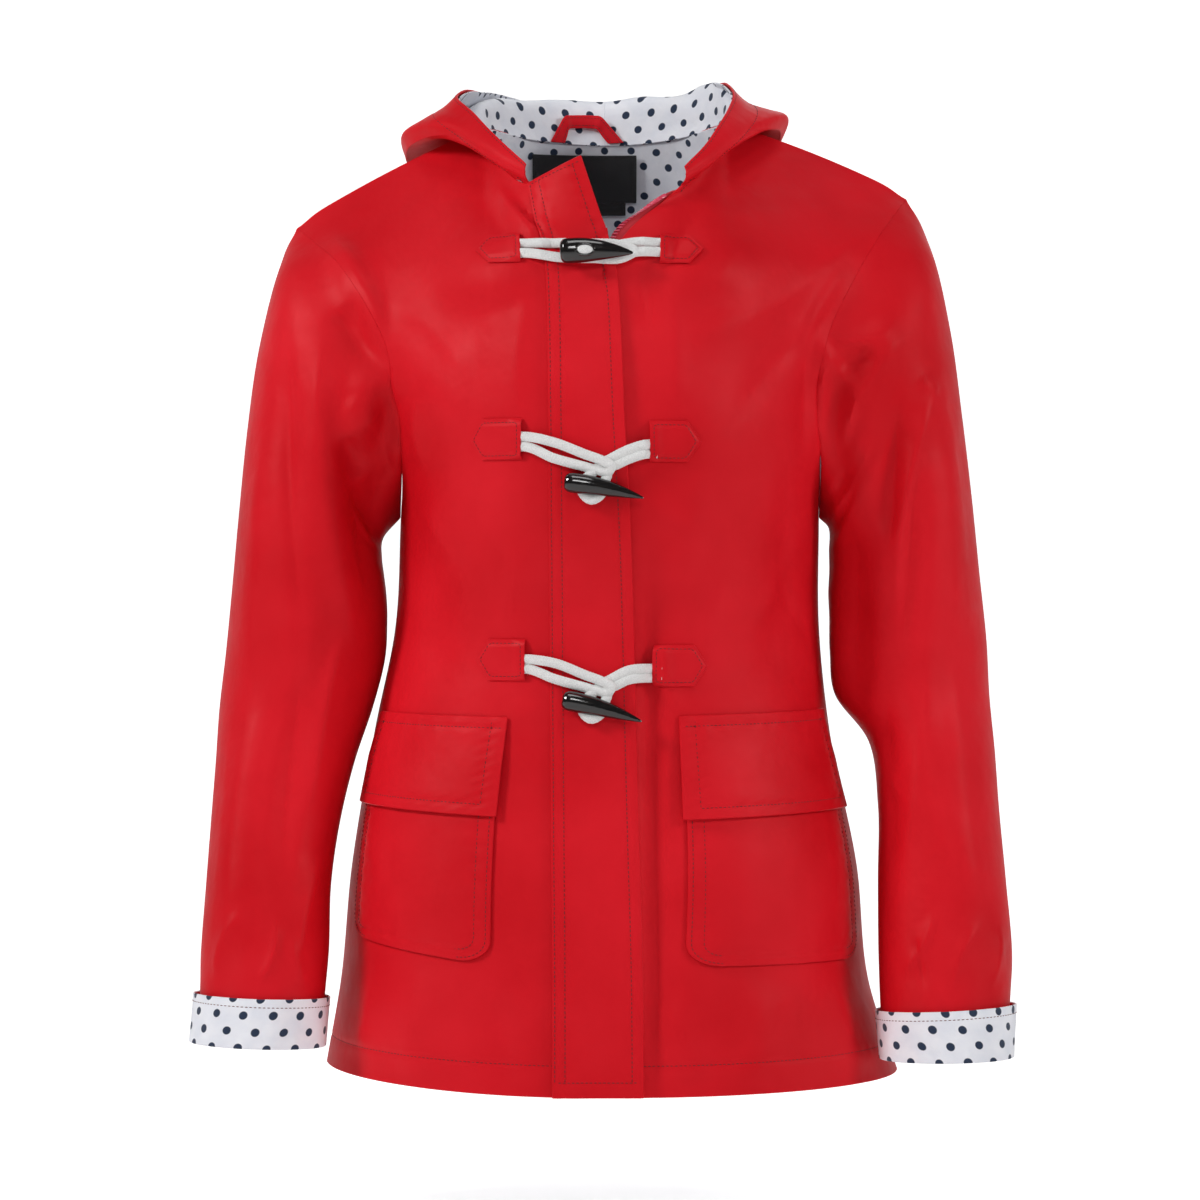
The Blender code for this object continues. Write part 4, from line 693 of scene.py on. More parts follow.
@dataclass(frozen=True)
class DottedCotton:
    """White cotton printed with staggered dark blue dots, by the piece's UV map in metres."""

    name: str = "dotted_lining"
    ground: tuple = (0.88, 0.89, 0.94, 1)
    shade: tuple = (0.80, 0.82, 0.89, 1)
    ink: tuple = (0.020, 0.034, 0.070, 1)
    across: float = 0.0195
    between: float = 0.0228
    radius: float = 0.0029

    def build(self) -> Material:
        """Dots are where the distance to the nearest point of two shifted lattices is short."""
        sheet = NodeSheet(self.name)
        uv = sheet.place("UV")
        drift = sheet.add("TexNoise", {"Vector": uv, "Scale": 45.0, "Detail": 1.0}).outputs["Color"]
        moved = sheet.add("VectorMath", {0: drift, 1: (-0.5, -0.5, -0.5)}, operation="ADD")
        scaled = sheet.add("VectorMath", {0: moved.outputs[0], "Scale": 0.0022}, operation="SCALE")
        where = sheet.add("VectorMath", {0: uv, 1: scaled.outputs[0]}, operation="ADD").outputs[0]
        parts = sheet.add("SeparateXYZ", {0: where}).outputs
        far = [self.lattice(sheet, parts[0], parts[1], shift) for shift in (0.0, 0.5)]
        nearest = sheet.math("MINIMUM", far[0], far[1])
        ragged = sheet.range(sheet.noise(2600, 1, uv), 0, 1, -0.00018, 0.00018)
        edge = sheet.math("ADD", nearest, ragged)
        dot = sheet.range(edge, self.radius - 0.00022, self.radius + 0.00022, 1, 0)
        ground = sheet.mix(sheet.range(sheet.noise(60, 3, uv), 0.35, 0.65, 0, 1),
                           self.shade, self.ground)
        soft = sheet.raise_by(sheet.noise(120, 3, uv), 0.0007)
        thread = sheet.raise_by(sheet.weave(parts[0], parts[1], 7400), 0.00004, soft)
        return sheet.finish(Base_Color=sheet.mix(dot, ground, self.ink), Roughness=0.86,
                            Normal=thread, Sheen_Weight=0.2, Specular_IOR_Level=0.25)

    def lattice(self, sheet: NodeSheet, u, v, shift: float) -> Socket:
        """Distance to the nearest point of a rectangular lattice moved by a share of its cell."""
        squares = []
        for value, pitch in ((u, self.across), (v, self.between)):
            cell = sheet.math("ADD", sheet.math("DIVIDE", value, pitch), shift)
            off = sheet.math("SUBTRACT", sheet.math("FRACT", cell), 0.5)
            off = sheet.math("MULTIPLY", off, pitch)
            squares.append(sheet.math("MULTIPLY", off, off))
        return sheet.math("SQRT", sheet.math("ADD", *squares))


@dataclass(frozen=True)
class Woven:
    """Matt or satin woven tape, label or thread, with ribs across it."""

    name: str
    colour: tuple
    dark: tuple
    rough: float = 0.7
    ribs: float = 1500.0
    depth: float = 0.00008

    def build(self) -> Material:
        """Two colours of yarn crossing, raised in ribs along height."""
        sheet = NodeSheet(self.name)
        parts = sheet.parts()
        cloth = sheet.weave(parts[2], parts[0], self.ribs * 6.283)
        tint = sheet.mix(sheet.range(cloth, -1, 1, 0.1, 0.9), self.dark, self.colour)
        soft = sheet.raise_by(sheet.noise(300, 3), 0.0002)
        return sheet.finish(Base_Color=tint, Roughness=self.rough, Sheen_Weight=0.15,
                            Normal=sheet.raise_by(cloth, self.depth, soft))


@dataclass(frozen=True)
class Braid:
    """Soft white braided cotton; the braid itself is in the mesh."""

    name: str = "cord_white"
    light: tuple = (0.86, 0.86, 0.85, 1)
    dark: tuple = (0.60, 0.60, 0.60, 1)

    def build(self) -> Material:
        """Fuzzy off-white with greyer specks between the fibres."""
        sheet = NodeSheet(self.name)
        fibre = sheet.noise(2400, 4)
        tint = sheet.mix(sheet.range(fibre, 0.35, 0.6, 0, 1), self.dark, self.light)
        return sheet.finish(Base_Color=tint, Roughness=0.92, Sheen_Weight=0.4,
                            Normal=sheet.raise_by(fibre, 0.0003))


@dataclass(frozen=True)
class Polished:
    """Hard glossy finish, with faint streaks along the piece."""

    name: str
    colour: tuple
    streak: tuple
    rough: float = 0.12
    metallic: float = 0.0
    coat: float = 0.6

    def build(self) -> Material:
        """Two close colours in stretched noise, under a clear coat."""
        sheet = NodeSheet(self.name)
        stretched = sheet.add("Mapping", {"Vector": sheet.place(), "Scale": (1, 1, 6)}).outputs[0]
        grain = sheet.noise(110, 4, stretched)
        tint = sheet.mix(sheet.range(grain, 0.4, 0.75, 0, 1), self.colour, self.streak)
        rough = sheet.range(sheet.noise(420, 3), 0.3, 0.7, self.rough - 0.03, self.rough + 0.06)
        return sheet.finish(Base_Color=tint, Roughness=rough, Metallic=self.metallic,
                            Coat_Weight=self.coat, Coat_Roughness=0.05,
                            Normal=sheet.raise_by(grain, 0.00012))


class Finish(Enum):
    """Every finish on the garment, with the record's slot that it belongs to."""

    COATED = ("coated", CoatedCloth())
    TRIM = ("trim", CoatedCloth("trim_red", (0.70, 0.010, 0.020, 1), (0.58, 0.005, 0.011, 1), 0.43))
    DOTTED = ("lining", DottedCotton())
    TAPE = ("tape", Woven("tape_red", (0.60, 0.012, 0.030, 1), (0.42, 0.004, 0.012, 1), 0.7, 900))
    STRAP = ("tape", CoatedCloth("strap_red", (0.70, 0.012, 0.024, 1), (0.58, 0.006, 0.012, 1),
                                 0.5))
    THREAD = ("trim", Woven("thread_red", (0.16, 0.002, 0.006, 1), (0.09, 0.001, 0.003, 1), 0.8,
                            2500, 0.00002))
    CORD = ("cord", Braid())
    HORN = ("horn", Polished("horn_black", (0.003, 0.003, 0.0035, 1), (0.012, 0.009, 0.007, 1)))
    LABEL = ("label", Woven("label_black", (0.011, 0.011, 0.013, 1), (0.004, 0.004, 0.005, 1), 0.6,
                            1100, 0.00006))
    SLIDER = ("slider", Polished("slider_red", (0.50, 0.010, 0.022, 1), (0.34, 0.006, 0.014, 1),
                                 0.3, 0.4, 0.3))
    TEETH = ("slider", Polished("teeth_red", (0.74, 0.07, 0.13, 1), (0.62, 0.04, 0.09, 1),
                                0.28, 0.0, 0.3))

    @property
    def slot(self) -> str:
        """The record's material slot."""
        return self.value[0]

    def material(self) -> Material:
        """The finish's material, made once."""
        finish = self.value[1]
        return bpy.data.materials.get(finish.name) or finish.build()


# ---- meshes

def placed(name: str, data) -> bpy.types.Object:
    """A new object in the scene that shows this mesh, light or camera."""
    made = bpy.data.objects.new(name, data)
    bpy.context.scene.collection.objects.link(made)
    return made


def mesh_piece(name: str, points: Array, faces: Array, finishes: list[Finish],
               which: Array | None = None, uv: Array | None = None) -> bpy.types.Object:
    """One piece at the origin, riding on the garment.

    Args:
        name: the piece's name.
        points: (point, axis) in millimetres.
        faces: (face, corner) of equal corner counts.
        finishes: its finishes, in the order of the material indices.
        which: the finish's index for each face.
        uv: (face, corner, 2) in metres.

    Returns:
        The finished object.
    """
    mesh = bpy.data.meshes.new(name)
    corners = faces.shape[1]
    mesh.vertices.add(len(points))
    mesh.vertices.foreach_set("co", (points * METRE).astype(np.float32).ravel())
    mesh.loops.add(faces.size)
    mesh.loops.foreach_set("vertex_index", faces.astype(np.int32).ravel())
    mesh.polygons.add(len(faces))
    mesh.polygons.foreach_set("loop_start", np.arange(0, faces.size, corners, dtype=np.int32))
    if uv is not None:
        layer = mesh.uv_layers.new(name="UVMap")
        layer.data.foreach_set("uv", uv.astype(np.float32).ravel())
    for finish in finishes:
        mesh.materials.append(finish.material())
    if which is not None:
        mesh.polygons.foreach_set("material_index", which.astype(np.int32))
    mesh.update(calc_edges=True)
    mesh.validate()
    mesh.polygons.foreach_set("use_smooth", np.ones(len(mesh.polygons), bool))
    mesh.set_sharp_from_angle(angle=np.radians(48))
    made = placed(name, mesh)
    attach(made, "root")
    return made


def quads(index: Array, wraps: bool = False) -> Array:
    """Four-cornered faces between neighbours in a grid (row, column) of point numbers."""
    if wraps:
        index = np.concatenate([index, index[:, :1]], axis=1)
    corners = [index[:-1, :-1], index[:-1, 1:], index[1:, 1:], index[1:, :-1]]
    return np.stack(corners, axis=-1).reshape(-1, 4)


def outward_faces(points: Array, faces: Array) -> Array:
    """The faces, all turned round where the closed mesh is inside out (its volume negative)."""
    a, b, c = points[faces[:, 0]], points[faces[:, 1]], points[faces[:, 2]]
    volume = np.einsum("ij,ij->i", a, np.cross(b, c)).sum()
    if faces.shape[1] == 4:
        volume += np.einsum("ij,ij->i", a, np.cross(c, points[faces[:, 3]])).sum()
    return faces if volume > 0 else faces[:, ::-1]


@dataclass
class Cloth:
    """One cut piece as a thin closed wall: an outer grid, an inner one and a rounded rim.

    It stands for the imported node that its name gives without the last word.
    """

    name: str
    outer: Array
    facing: Array
    lift: float = 0.0
    wall: float = SHELL
    wraps: bool = False
    outside: Finish = Finish.COATED
    inside: Finish | None = None          # the same as outside where it is None
    held: Held = Held.WORN
    rests_on: tuple = ()

    def rim_rings(self, low: Array, high: Array) -> tuple[Array, Array, list[tuple[int, int]]]:
        """Closed loops of boundary points and a middle ring that bulges by a third of the wall."""
        rows, count = low.shape[:2]
        index = np.arange(rows * count).reshape(rows, count)
        middle = (low + high) / 2
        if self.wraps:
            out = [unit(middle[0] - middle[1]), unit(middle[-1] - middle[-2])]
            loops = [index[0], index[-1][::-1]]
            rings = [middle[0] + out[0] * self.wall / 3,
                     (middle[-1] + out[1] * self.wall / 3)[::-1]]
            return np.concatenate(loops), np.concatenate(rings), [(0, count), (count, 2 * count)]
        loop = np.concatenate([index[0, :-1], index[:-1, -1], index[-1, :0:-1], index[:0:-1, 0]])
        inner = np.clip(np.stack(np.divmod(loop, count), 1), 1, [rows - 2, count - 2])
        near = middle[inner[:, 0], inner[:, 1]]
        edge = middle.reshape(-1, 3)[loop]
        return loop, edge + unit(edge - near) * self.wall / 3, [(0, len(loop))]

    def build(self) -> bpy.types.Object:
        """Make the wall and its UV map by lengths walked over it."""
        high = self.outer + self.facing * (self.lift + self.wall)
        low = self.outer + self.facing * self.lift
        total = high.shape[0] * high.shape[1]
        face = quads(np.arange(total).reshape(high.shape[:2]), self.wraps)
        loop, ring, spans = self.rim_rings(low, high)
        points = np.concatenate([high.reshape(-1, 3), low.reshape(-1, 3), ring])
        faces, which = [face, face[:, ::-1] + total], [np.zeros(len(face)), np.ones(len(face))]
        lengths = self.lengths()
        rim_spots = lengths.reshape(-1, 2)
        if self.wraps:
            last = 2 * lengths[:, -1:] - lengths[:, -2:-1]
            lengths = np.concatenate([lengths, last], axis=1)
        spot = np.arange(lengths.shape[0] * lengths.shape[1]).reshape(lengths.shape[:2])
        spot = lengths.reshape(-1, 2)[quads(spot)]
        spots = [spot, spot[:, ::-1]]
        for start, end in spans:
            a = np.arange(start, end)
            b = np.roll(a, -1)
            faces.append(np.stack([loop[b], loop[a], 2 * total + a, 2 * total + b], axis=1))
            faces.append(np.stack([2 * total + b, 2 * total + a, loop[a] + total,
                                   loop[b] + total], axis=1))
            which += [np.zeros(end - start), np.zeros(end - start)]
            rim = rim_spots[loop[np.stack([b, a, a, b], axis=1)]]
            spots += [rim, rim[:, ::-1][:, [2, 3, 0, 1]]]
        faces, spots = np.concatenate(faces), np.concatenate(spots)
        turned = outward_faces(points, faces)
        if turned is not faces:
            spots = spots[:, ::-1]
        made = mesh_piece(self.name, points, turned, [self.outside, self.inside or self.outside],
                          np.concatenate(which), spots)
        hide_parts(self.name.rsplit("_", 1)[0])
        return made

    def lengths(self) -> Array:
        """Metres walked over the cloth, across from its middle column and up from its first row."""
        middle = self.outer.shape[1] // 2
        across = walked(self.outer, axis=1)
        across = across - across[:, middle:middle + 1]
        up = walked(self.outer, axis=0)
        return np.stack([across, up], axis=-1) * METRE


def tube(path: Array, wide: Array | float, deep: Array | float, sides: int,
         braid: float = 0.0, pitch: float = 4.0) -> Pair:
    """A closed tube round a path.

    Each ring is an oval of half sizes wide (across the view) and deep (to the front). A braid
    swells it by the product of the sines of two opposite spirals.
    """
    way = unit(np.gradient(path, axis=0))
    side_on = np.abs(way[:, 1:2]) > 0.98
    depth = unit(np.where(side_on, [0, 0, 1.0], [0, 1.0, 0])
                 - way * np.where(side_on, way[:, 2:3], way[:, 1:2]))
    across = np.cross(way, depth)
    angle = np.linspace(0, 2 * np.pi, sides, endpoint=False)[None, :]
    wide, deep = np.reshape(wide, (-1, 1)), np.reshape(deep, (-1, 1))
    turn = 2 * np.pi * walked(path)[:, None] / pitch
    swell = 1 + braid * np.sin(turn + 2 * angle) * np.sin(turn - 2 * angle)
    ring = (path[:, None] + across[:, None] * (np.cos(angle) * wide * swell)[..., None]
            + depth[:, None] * (np.sin(angle) * deep * swell)[..., None])
    count = len(path)
    index = np.arange(count * sides).reshape(count, sides)
    index = np.concatenate([index, index[:, :1]], axis=1)
    faces = quads(index)
    ends = [ring[0].mean(axis=0), ring[-1].mean(axis=0)]
    first, last = count * sides, count * sides + 1
    caps = []
    for centre, row in ((first, index[0, ::-1]), (last, index[-1])):
        caps.append(np.stack([row[:-1:2], row[1::2], row[2::2], np.full(sides // 2, centre)], 1))
    points = np.concatenate([ring.reshape(-1, 3), ends])
    faces = np.concatenate([faces] + caps)
    return points, outward_faces(points, faces)


def copies(faces: Array, points: int, count: int) -> Array:
    """The faces of a small shape of so many points, repeated for a row of copies."""
    return (faces[None] + points * np.arange(count)[:, None, None]).reshape(-1, faces.shape[1])


def joined(parts: list[Pair]) -> Pair:
    """Several meshes of points and faces as one."""
    starts = np.cumsum([0] + [len(p) for p, _ in parts[:-1]])
    return (np.concatenate([p for p, _ in parts]),
            np.concatenate([f + s for (_, f), s in zip(parts, starts)]))


@dataclass
class Stitching:
    """Rows of sewing thread, gathered from every seam of one sub-assembly."""

    name: str
    pitch: float = 3.1
    length: float = 2.2
    radius: float = 0.30
    lines: list = field(default_factory=list)

    def line(self, path: Array, normals: Array) -> None:
        """Add a stitch line that lies on a surface with these normals."""
        self.lines.append(spaced(path, self.pitch, normals))

    def build(self, finish: Finish = Finish.THREAD) -> None:
        """Every stitch is a six-sided spindle of three rings whose ends dip into the cloth."""
        if not self.lines:
            return
        parts = []
        for path, normal in self.lines:
            way = unit(np.diff(path, axis=0))
            centre = (path[1:] + path[:-1]) / 2
            normal = unit((normal[1:] + normal[:-1]) / 2)
            across = np.cross(way, normal)
            angle = np.arange(6) * np.pi / 3
            circle = (across[:, None] * np.cos(angle)[None, :, None]
                      + normal[:, None] * np.sin(angle)[None, :, None])
            rings = [centre[:, None] + way[:, None] * s * self.length / 2
                     + normal[:, None] * up * self.radius + circle * self.radius * size
                     for s, up, size in ((-1, -0.3, 0.45), (0, 0.55, 1.0), (1, -0.3, 0.45))]
            points = np.stack(rings, axis=1).reshape(-1, 3)
            caps = [[5, 4, 3, 0], [3, 2, 1, 0], [12, 13, 14, 15], [12, 15, 16, 17]]
            one = np.concatenate([quads(np.arange(18).reshape(3, 6), True), caps])
            parts.append((points, copies(one, 18, len(centre))))
        points, faces = joined(parts)
        mesh_piece(self.name, points, outward_faces(points, faces), [finish])


# ---- assemblies

@dataclass
class Shell:
    """The two fronts, the back and the two sleeves, which share their seam points."""

    panels: dict = field(default_factory=dict)
    hem_row: int = 13
    hem_rows: int = 20
    hem_tall: float = 30.0
    round_reach: float = 13.0
    round_in: float = 3.0

    def plain(self) -> dict[str, Array]:
        """Unfolded grids of the five panels; body rows close up at the hem, columns at the zip."""
        armpit = ROW_HEIGHTS[ARMPIT_ROW]
        hem = np.linspace(0, self.hem_tall, self.hem_rows)
        rest = np.linspace(self.hem_tall, armpit, ROWS_BELOW + 1 - self.hem_rows)
        below = np.concatenate([hem, rest[1:]])
        above = np.linspace(armpit, HEM_HEIGHT, ROWS_ABOVE + 1)
        heights = np.concatenate([below, above[1:]])
        shares = np.linspace(0, 1, PANEL_COLUMNS)
        share, height = (g.ravel() for g in np.meshgrid(shares, heights))
        shape = (len(heights), len(shares), 3)
        grids = {"front_" + side.word: Panel(side).plain(share, height).reshape(shape)
                 for side in Side}
        back = [Panel(side, True).plain(share, height).reshape(shape) for side in Side]
        grids["back"] = np.concatenate([back[0][:, ::-1], back[1][:, 1:]], axis=1)
        around = np.linspace(0, 2, 2 * ROWS_ABOVE + 1)[:-1]
        lengths = np.linspace(0, 1, SLEEVE_ROWS)
        share, length = (g.ravel() for g in np.meshgrid(around, lengths))
        for side in Side:
            grids["sleeve_" + side.word] = plain_sleeve(side, share, length).reshape(
                len(lengths), len(around), 3)
        return grids

    def shape(self) -> None:
        """Fold the panels and mitre their seams, keeping walls that lie back to back apart."""
        grids = self.plain()
        names = list(grids)
        wraps = [name.startswith("sleeve") for name in names]

        def facings(plain: list[Array]) -> tuple[list[Array], list[Array]]:
            """Outward normals, shared along the seams, and how alike the sharing panels are."""
            own = []
            for grid, wrap in zip(plain, wraps):
                facing = grid_normals(grid, wrap)
                middle = grid.reshape(-1, 3).mean(axis=0) * np.array([1, 0, 1])
                outward = (grid - middle) * np.array([1, 1, 0])
                own.append(facing if (outward * facing).sum() > 0 else -facing)
            body = wraps.count(False)
            own[:body] = share_seams(plain[:body], own[:body])[0]
            averaged, alike = share_seams(plain, own)
            return [unit(m * a + n * (1 - a)) for m, n, a in zip(averaged, own, alike)], alike

        plain = [self.rounded(grids[name]) for name in names]
        facing, alike = facings(plain)
        creased = [folded(g.reshape(-1, 3), (n * (a > 0.99)).reshape(-1, 3)).reshape(g.shape)
                   for g, n, a in zip(plain, facing, alike)]
        for grid, normal, wrap in zip(creased, facing, wraps):
            if not wrap:
                above = (np.arange(len(grid)) - self.hem_row)[:, None]
                dent = seam_dent(above * self.hem_tall / (self.hem_rows - 1),
                                 walked(grid, axis=1), 0.55)
                grid += normal * dent[..., None] * (np.arange(len(grid)) < 24)[:, None, None]
        facing, alike = facings(creased)
        eased = [g - n * np.minimum(1, 3 * (1 - a)) * EASE
                 for g, n, a in zip(creased, facing, alike)]
        self.panels = {name: (g, n) for name, g, n in zip(names, eased, facing)}

    def rounded(self, grid: Array) -> Array:
        """The grid with the two shoulder points drawn in, so that the sleeve heads are round."""
        for side in Side:
            tip = columns_of(FRONT_TOP[side], *"xyz")[-1]
            near = bump(np.linalg.norm(grid - tip, axis=-1), self.round_reach)[..., None]
            grid = grid + near * self.round_in * np.array([-0.55 * side, 0, -0.83])
        return grid

    def build(self) -> None:
        """Make the five walls, coated outside and dotted inside, with the hem's stitching."""
        self.shape()
        rests = {"back": (), "front_left": ("back_cloth",), "front_right": ("back_cloth",),
                 "sleeve_left": ("back_cloth", "front_left_cloth"),
                 "sleeve_right": ("back_cloth", "front_right_cloth")}
        for name, (grid, facing) in self.panels.items():
            wraps = name.startswith("sleeve")
            Cloth(name + "_cloth", trimmed(grid, wraps, GAP / 2), facing, -SHELL, SHELL, wraps,
                  Finish.COATED, Finish.DOTTED, Held.WORN, rests[name]).build()
        stitches = Stitching("hem_stitching")
        row = self.hem_row
        for name in ("front_left", "front_right", "back"):
            grid, facing = self.panels[name]
            stitches.line(grid[row, 1:-1], facing[row, 1:-1])
        stitches.build()
        log.info("shell: five panels")


@dataclass
class Cuff:
    """The sleeve end turned up to show its lining."""

    side: Side
    tall: float = 39.0
    flare: float = 1.6
    wall: float = 1.6
    rows: int = 26
    columns: int = 96

    def build(self, stitches: Stitching) -> None:
        """A band round the sleeve, softly uneven, its top edge sewn down."""
        share = np.linspace(0, 2, self.columns + 1)[:-1]
        length = np.linspace(1.003, 1 - self.tall / 600, self.rows)
        grid_share, grid_length = (g.ravel() for g in np.meshgrid(share, length))
        grid = plain_sleeve(self.side, grid_share, grid_length).reshape(self.rows, self.columns, 3)
        facing = grid_normals(grid, True)
        middle = grid.reshape(-1, 3).mean(axis=0)
        if (((grid - middle) * [1, 1, 0]) * facing).sum() < 0:
            facing = -facing
        up = np.linspace(0, 1, self.rows)[:, None]
        wave = (0.5 * np.sin(np.pi * share * 3 + 0.7) * up
                + 0.4 * np.sin(np.pi * share * 7 + 2) * up
                + 0.35 * np.sin(np.pi * share * 12 + self.side) * (1 - up))
        raised = grid + facing * (self.flare * up + 0.5 + wave * 0.7)[..., None]
        Cloth(f"cuff_{self.side.word}_cloth", raised, facing, LIFT + 0.2, self.wall, True,
              Finish.DOTTED, Finish.COATED, Held.FOLDED,
              (f"sleeve_{self.side.word}_cloth",)).build()
        row = int(self.rows * 0.84)
        top = raised[row] + facing[row] * (LIFT + 0.2 + self.wall)
        closed = np.concatenate([top, top[:1]])
        stitches.line(closed, np.concatenate([facing[row], facing[row][:1]]))


@dataclass
class StormFlap:
    """Strip sewn on over the closed zip; its top stands off the neck."""

    seam_line: float = 8.5
    edge_line: float = 7.5
    rows: int = 210
    columns: int = 34

    def surface(self, across: Array, at: Array) -> Pair:
        """Its under side and normals, by share across and share of length, with dents and waves."""
        knots = np.arange(len(STORM_FLAP["seam_x"]), dtype=float)
        names = ("seam_x", "edge_x", "seam_z", "edge_z", "out")
        rows = curve(knots, columns_of(STORM_FLAP, *names), at[:, 0] * knots[-1])
        x = rows[:, 0:1] + (rows[:, 1:2] - rows[:, 0:1]) * across
        z = rows[:, 2:3] + (rows[:, 3:4] - rows[:, 2:3]) * across
        wide = rows[:, 1:2] - rows[:, 0:1]
        y = panel_depth(x, z).reshape(x.shape) - rows[:, 4:5] - LIFT
        dent = (seam_dent(across * wide - 1.2, z) + seam_dent(across * wide - self.seam_line, z + 4)
                + seam_dent((1 - across) * wide - self.edge_line, z + 9))
        wave = 0.55 * np.sin(z / 31 + 2 * across) + 0.4 * np.sin(z / 13 + 5 * across + 1)
        free = 2.2 * across**3 * np.clip((-z - 90) / 60, 0, 1)
        y = y - 0.9 - dent - wave * np.sin(np.pi * across) - free
        grid = np.stack([x, y, z], axis=-1)
        return grid, facing_front(grid)

    def build(self) -> None:
        """The strip with two lines at its seam, one along its edge and one across its foot."""
        across, at = np.meshgrid(np.linspace(0, 1, self.columns), np.linspace(0, 1, self.rows))
        grid, facing = self.surface(across, at)
        Cloth("storm_flap_cloth", grid, facing, 0, SHELL,
              rests_on=("front_left_cloth", "front_right_cloth")).build()
        stitches = Stitching("storm_flap_stitching")
        wide = np.linalg.norm(grid[:, -1] - grid[:, 0], axis=1)
        for share in (1.6 / wide, self.seam_line / wide, 1 - self.edge_line / wide):
            column = share * (self.columns - 1)
            low = np.floor(column).astype(int)
            part = (column - low)[:, None]
            row = np.arange(self.rows)
            top = grid + facing * (SHELL + 0.05)
            line = top[row, low] * (1 - part) + top[row, low + 1] * part
            stitches.line(line[2:-3], facing[row, low][2:-3])
        for row in (2, -4):
            stitches.line((grid + facing * SHELL)[row, 2:-2], facing[row, 2:-2])
        stitches.build()
        log.info("storm flap")


@dataclass
class Pocket:
    """A patch pocket with round bottom corners and the flap over its mouth."""

    side: Side
    corner: float = 15.0
    seam: float = 7.0
    swell: float = 1.9
    flap_rise: float = SHELL + 3 * GAP + 0.6

    def sizes(self, corners: Table) -> tuple[float, float]:
        """Width and height as seen."""
        return (abs(corners["x"][1] - corners["x"][0]), abs(corners["z"][3] - corners["z"][0]))

    def bag(self, across: Array, down: Array) -> Pair:
        """The pocket's under side: swollen inside its seam, dented where it is sewn."""
        wide, tall = self.sizes(POCKETS[self.side])
        points, facing = on_front(self.side, POCKETS[self.side], across, down)
        edge = np.minimum(np.minimum(across, 1 - across) * wide, (1 - down) * tall)
        along_it = np.where(edge < (1 - down) * tall - 1e-9, down * tall, across * wide)
        sag = strokes(POCKET_FOLDS, across, down, 1.0)
        raised = (self.swell * np.clip(edge / 26, 0, 1)**0.8 + sag * np.clip(edge / 18, 0, 1)
                  + seam_dent(edge - self.seam, along_it, 0.5) * np.clip(edge / 5, 0, 1) + 0.5)
        return points + facing * raised[..., None], facing

    def flap(self, across: Array, down: Array) -> Pair:
        """The flap's under side: it lies over the pocket and lifts a little at its foot."""
        wide, tall = self.sizes(FLAPS[self.side])
        points, facing = on_front(self.side, FLAPS[self.side], across, down)
        side_edge = np.minimum(across, 1 - across) * wide
        edge = np.minimum(side_edge, (1 - down) * tall)
        dent = (seam_dent(edge - self.seam, (across + down) * wide, 0.5)
                + seam_dent(down * tall - self.seam, across * wide, 0.5))
        over = self.swell * np.clip(side_edge / 22, 0, 1) * np.clip((down - 0.5) / 0.3, 0, 1)
        lift = self.flap_rise * np.clip(down / 0.5, 0, 1) + over + 0.9 * down**3
        curl = 0.5 * np.sin(5.5 * across + self.side) * down**2
        return points + facing * (lift + dent + curl + 0.5)[..., None], facing

    def build(self) -> None:
        """Both pieces and their lines of stitching."""
        name = self.side.word
        wide, tall = self.sizes(POCKETS[self.side])
        turn = np.linspace(0, np.pi / 2, 16)
        down = np.concatenate([np.linspace(0, 1 - self.corner / tall, 54)[:-1],
                               1 - self.corner * (1 - np.sin(turn)) / tall])
        inset = np.concatenate([np.zeros(53), self.corner * (1 - np.cos(turn)) / wide])
        across = np.linspace(0, 1, 50)[None] * (1 - 2 * inset[:, None]) + inset[:, None]
        points, facing = self.bag(across, np.repeat(down[:, None], 50, axis=1))
        panel = f"front_{name}_cloth"
        Cloth(f"pocket_{name}_cloth", points, facing, LIFT, SHELL, rests_on=(panel,)).build()
        flap_across, flap_down = np.meshgrid(np.linspace(0, 1, 52), np.linspace(0, 1, 40))
        points, facing = self.flap(flap_across, flap_down)
        Cloth(f"pocket_flap_{name}_cloth", points, facing, LIFT, SHELL,
              rests_on=(f"pocket_{name}_cloth", panel)).build()
        stitches = Stitching(f"pocket_{name}_stitching")
        for inside in (1.8, self.seam):
            bend = max(self.corner - inside, 1.0)
            left, foot = inside / wide, 1 - inside / tall
            turn = np.linspace(0, np.pi / 2, 12)
            a = np.concatenate([np.full(30, left), left + bend / wide * (1 - np.cos(turn)),
                                1 - left - bend / wide * (1 - np.sin(turn)),
                                np.full(30, 1 - left)])
            d = np.concatenate([np.linspace(0.12, foot - bend / tall, 30),
                                foot - bend / tall * (1 - np.sin(turn)),
                                foot - bend / tall * (1 - np.cos(turn)),
                                np.linspace(foot - bend / tall, 0.12, 30)])
            self.sew(stitches, self.bag, a, d)
        wide, tall = self.sizes(FLAPS[self.side])
        a, d = self.seam / wide, 1 - self.seam / tall
        even = np.linspace(0, 1, 40)
        self.sew(stitches, self.flap, np.full(40, a), even * (d - 0.04) + 0.04)
        self.sew(stitches, self.flap, a + even * (1 - 2 * a), np.full(40, d))
        self.sew(stitches, self.flap, np.full(40, 1 - a), d - even * (d - 0.04))
        self.sew(stitches, self.flap, 0.02 + 0.96 * even, np.full(40, self.seam / tall))
        stitches.build()
        log.info("pocket %s", name)

    @staticmethod
    def sew(stitches: Stitching, surface: Surface, across: Array, down: Array) -> None:
        """A stitch line on one of the pieces through these places."""
        points, facing = surface(across[None], down[None])
        stitches.line((points + facing * (LIFT + SHELL))[0], facing[0])


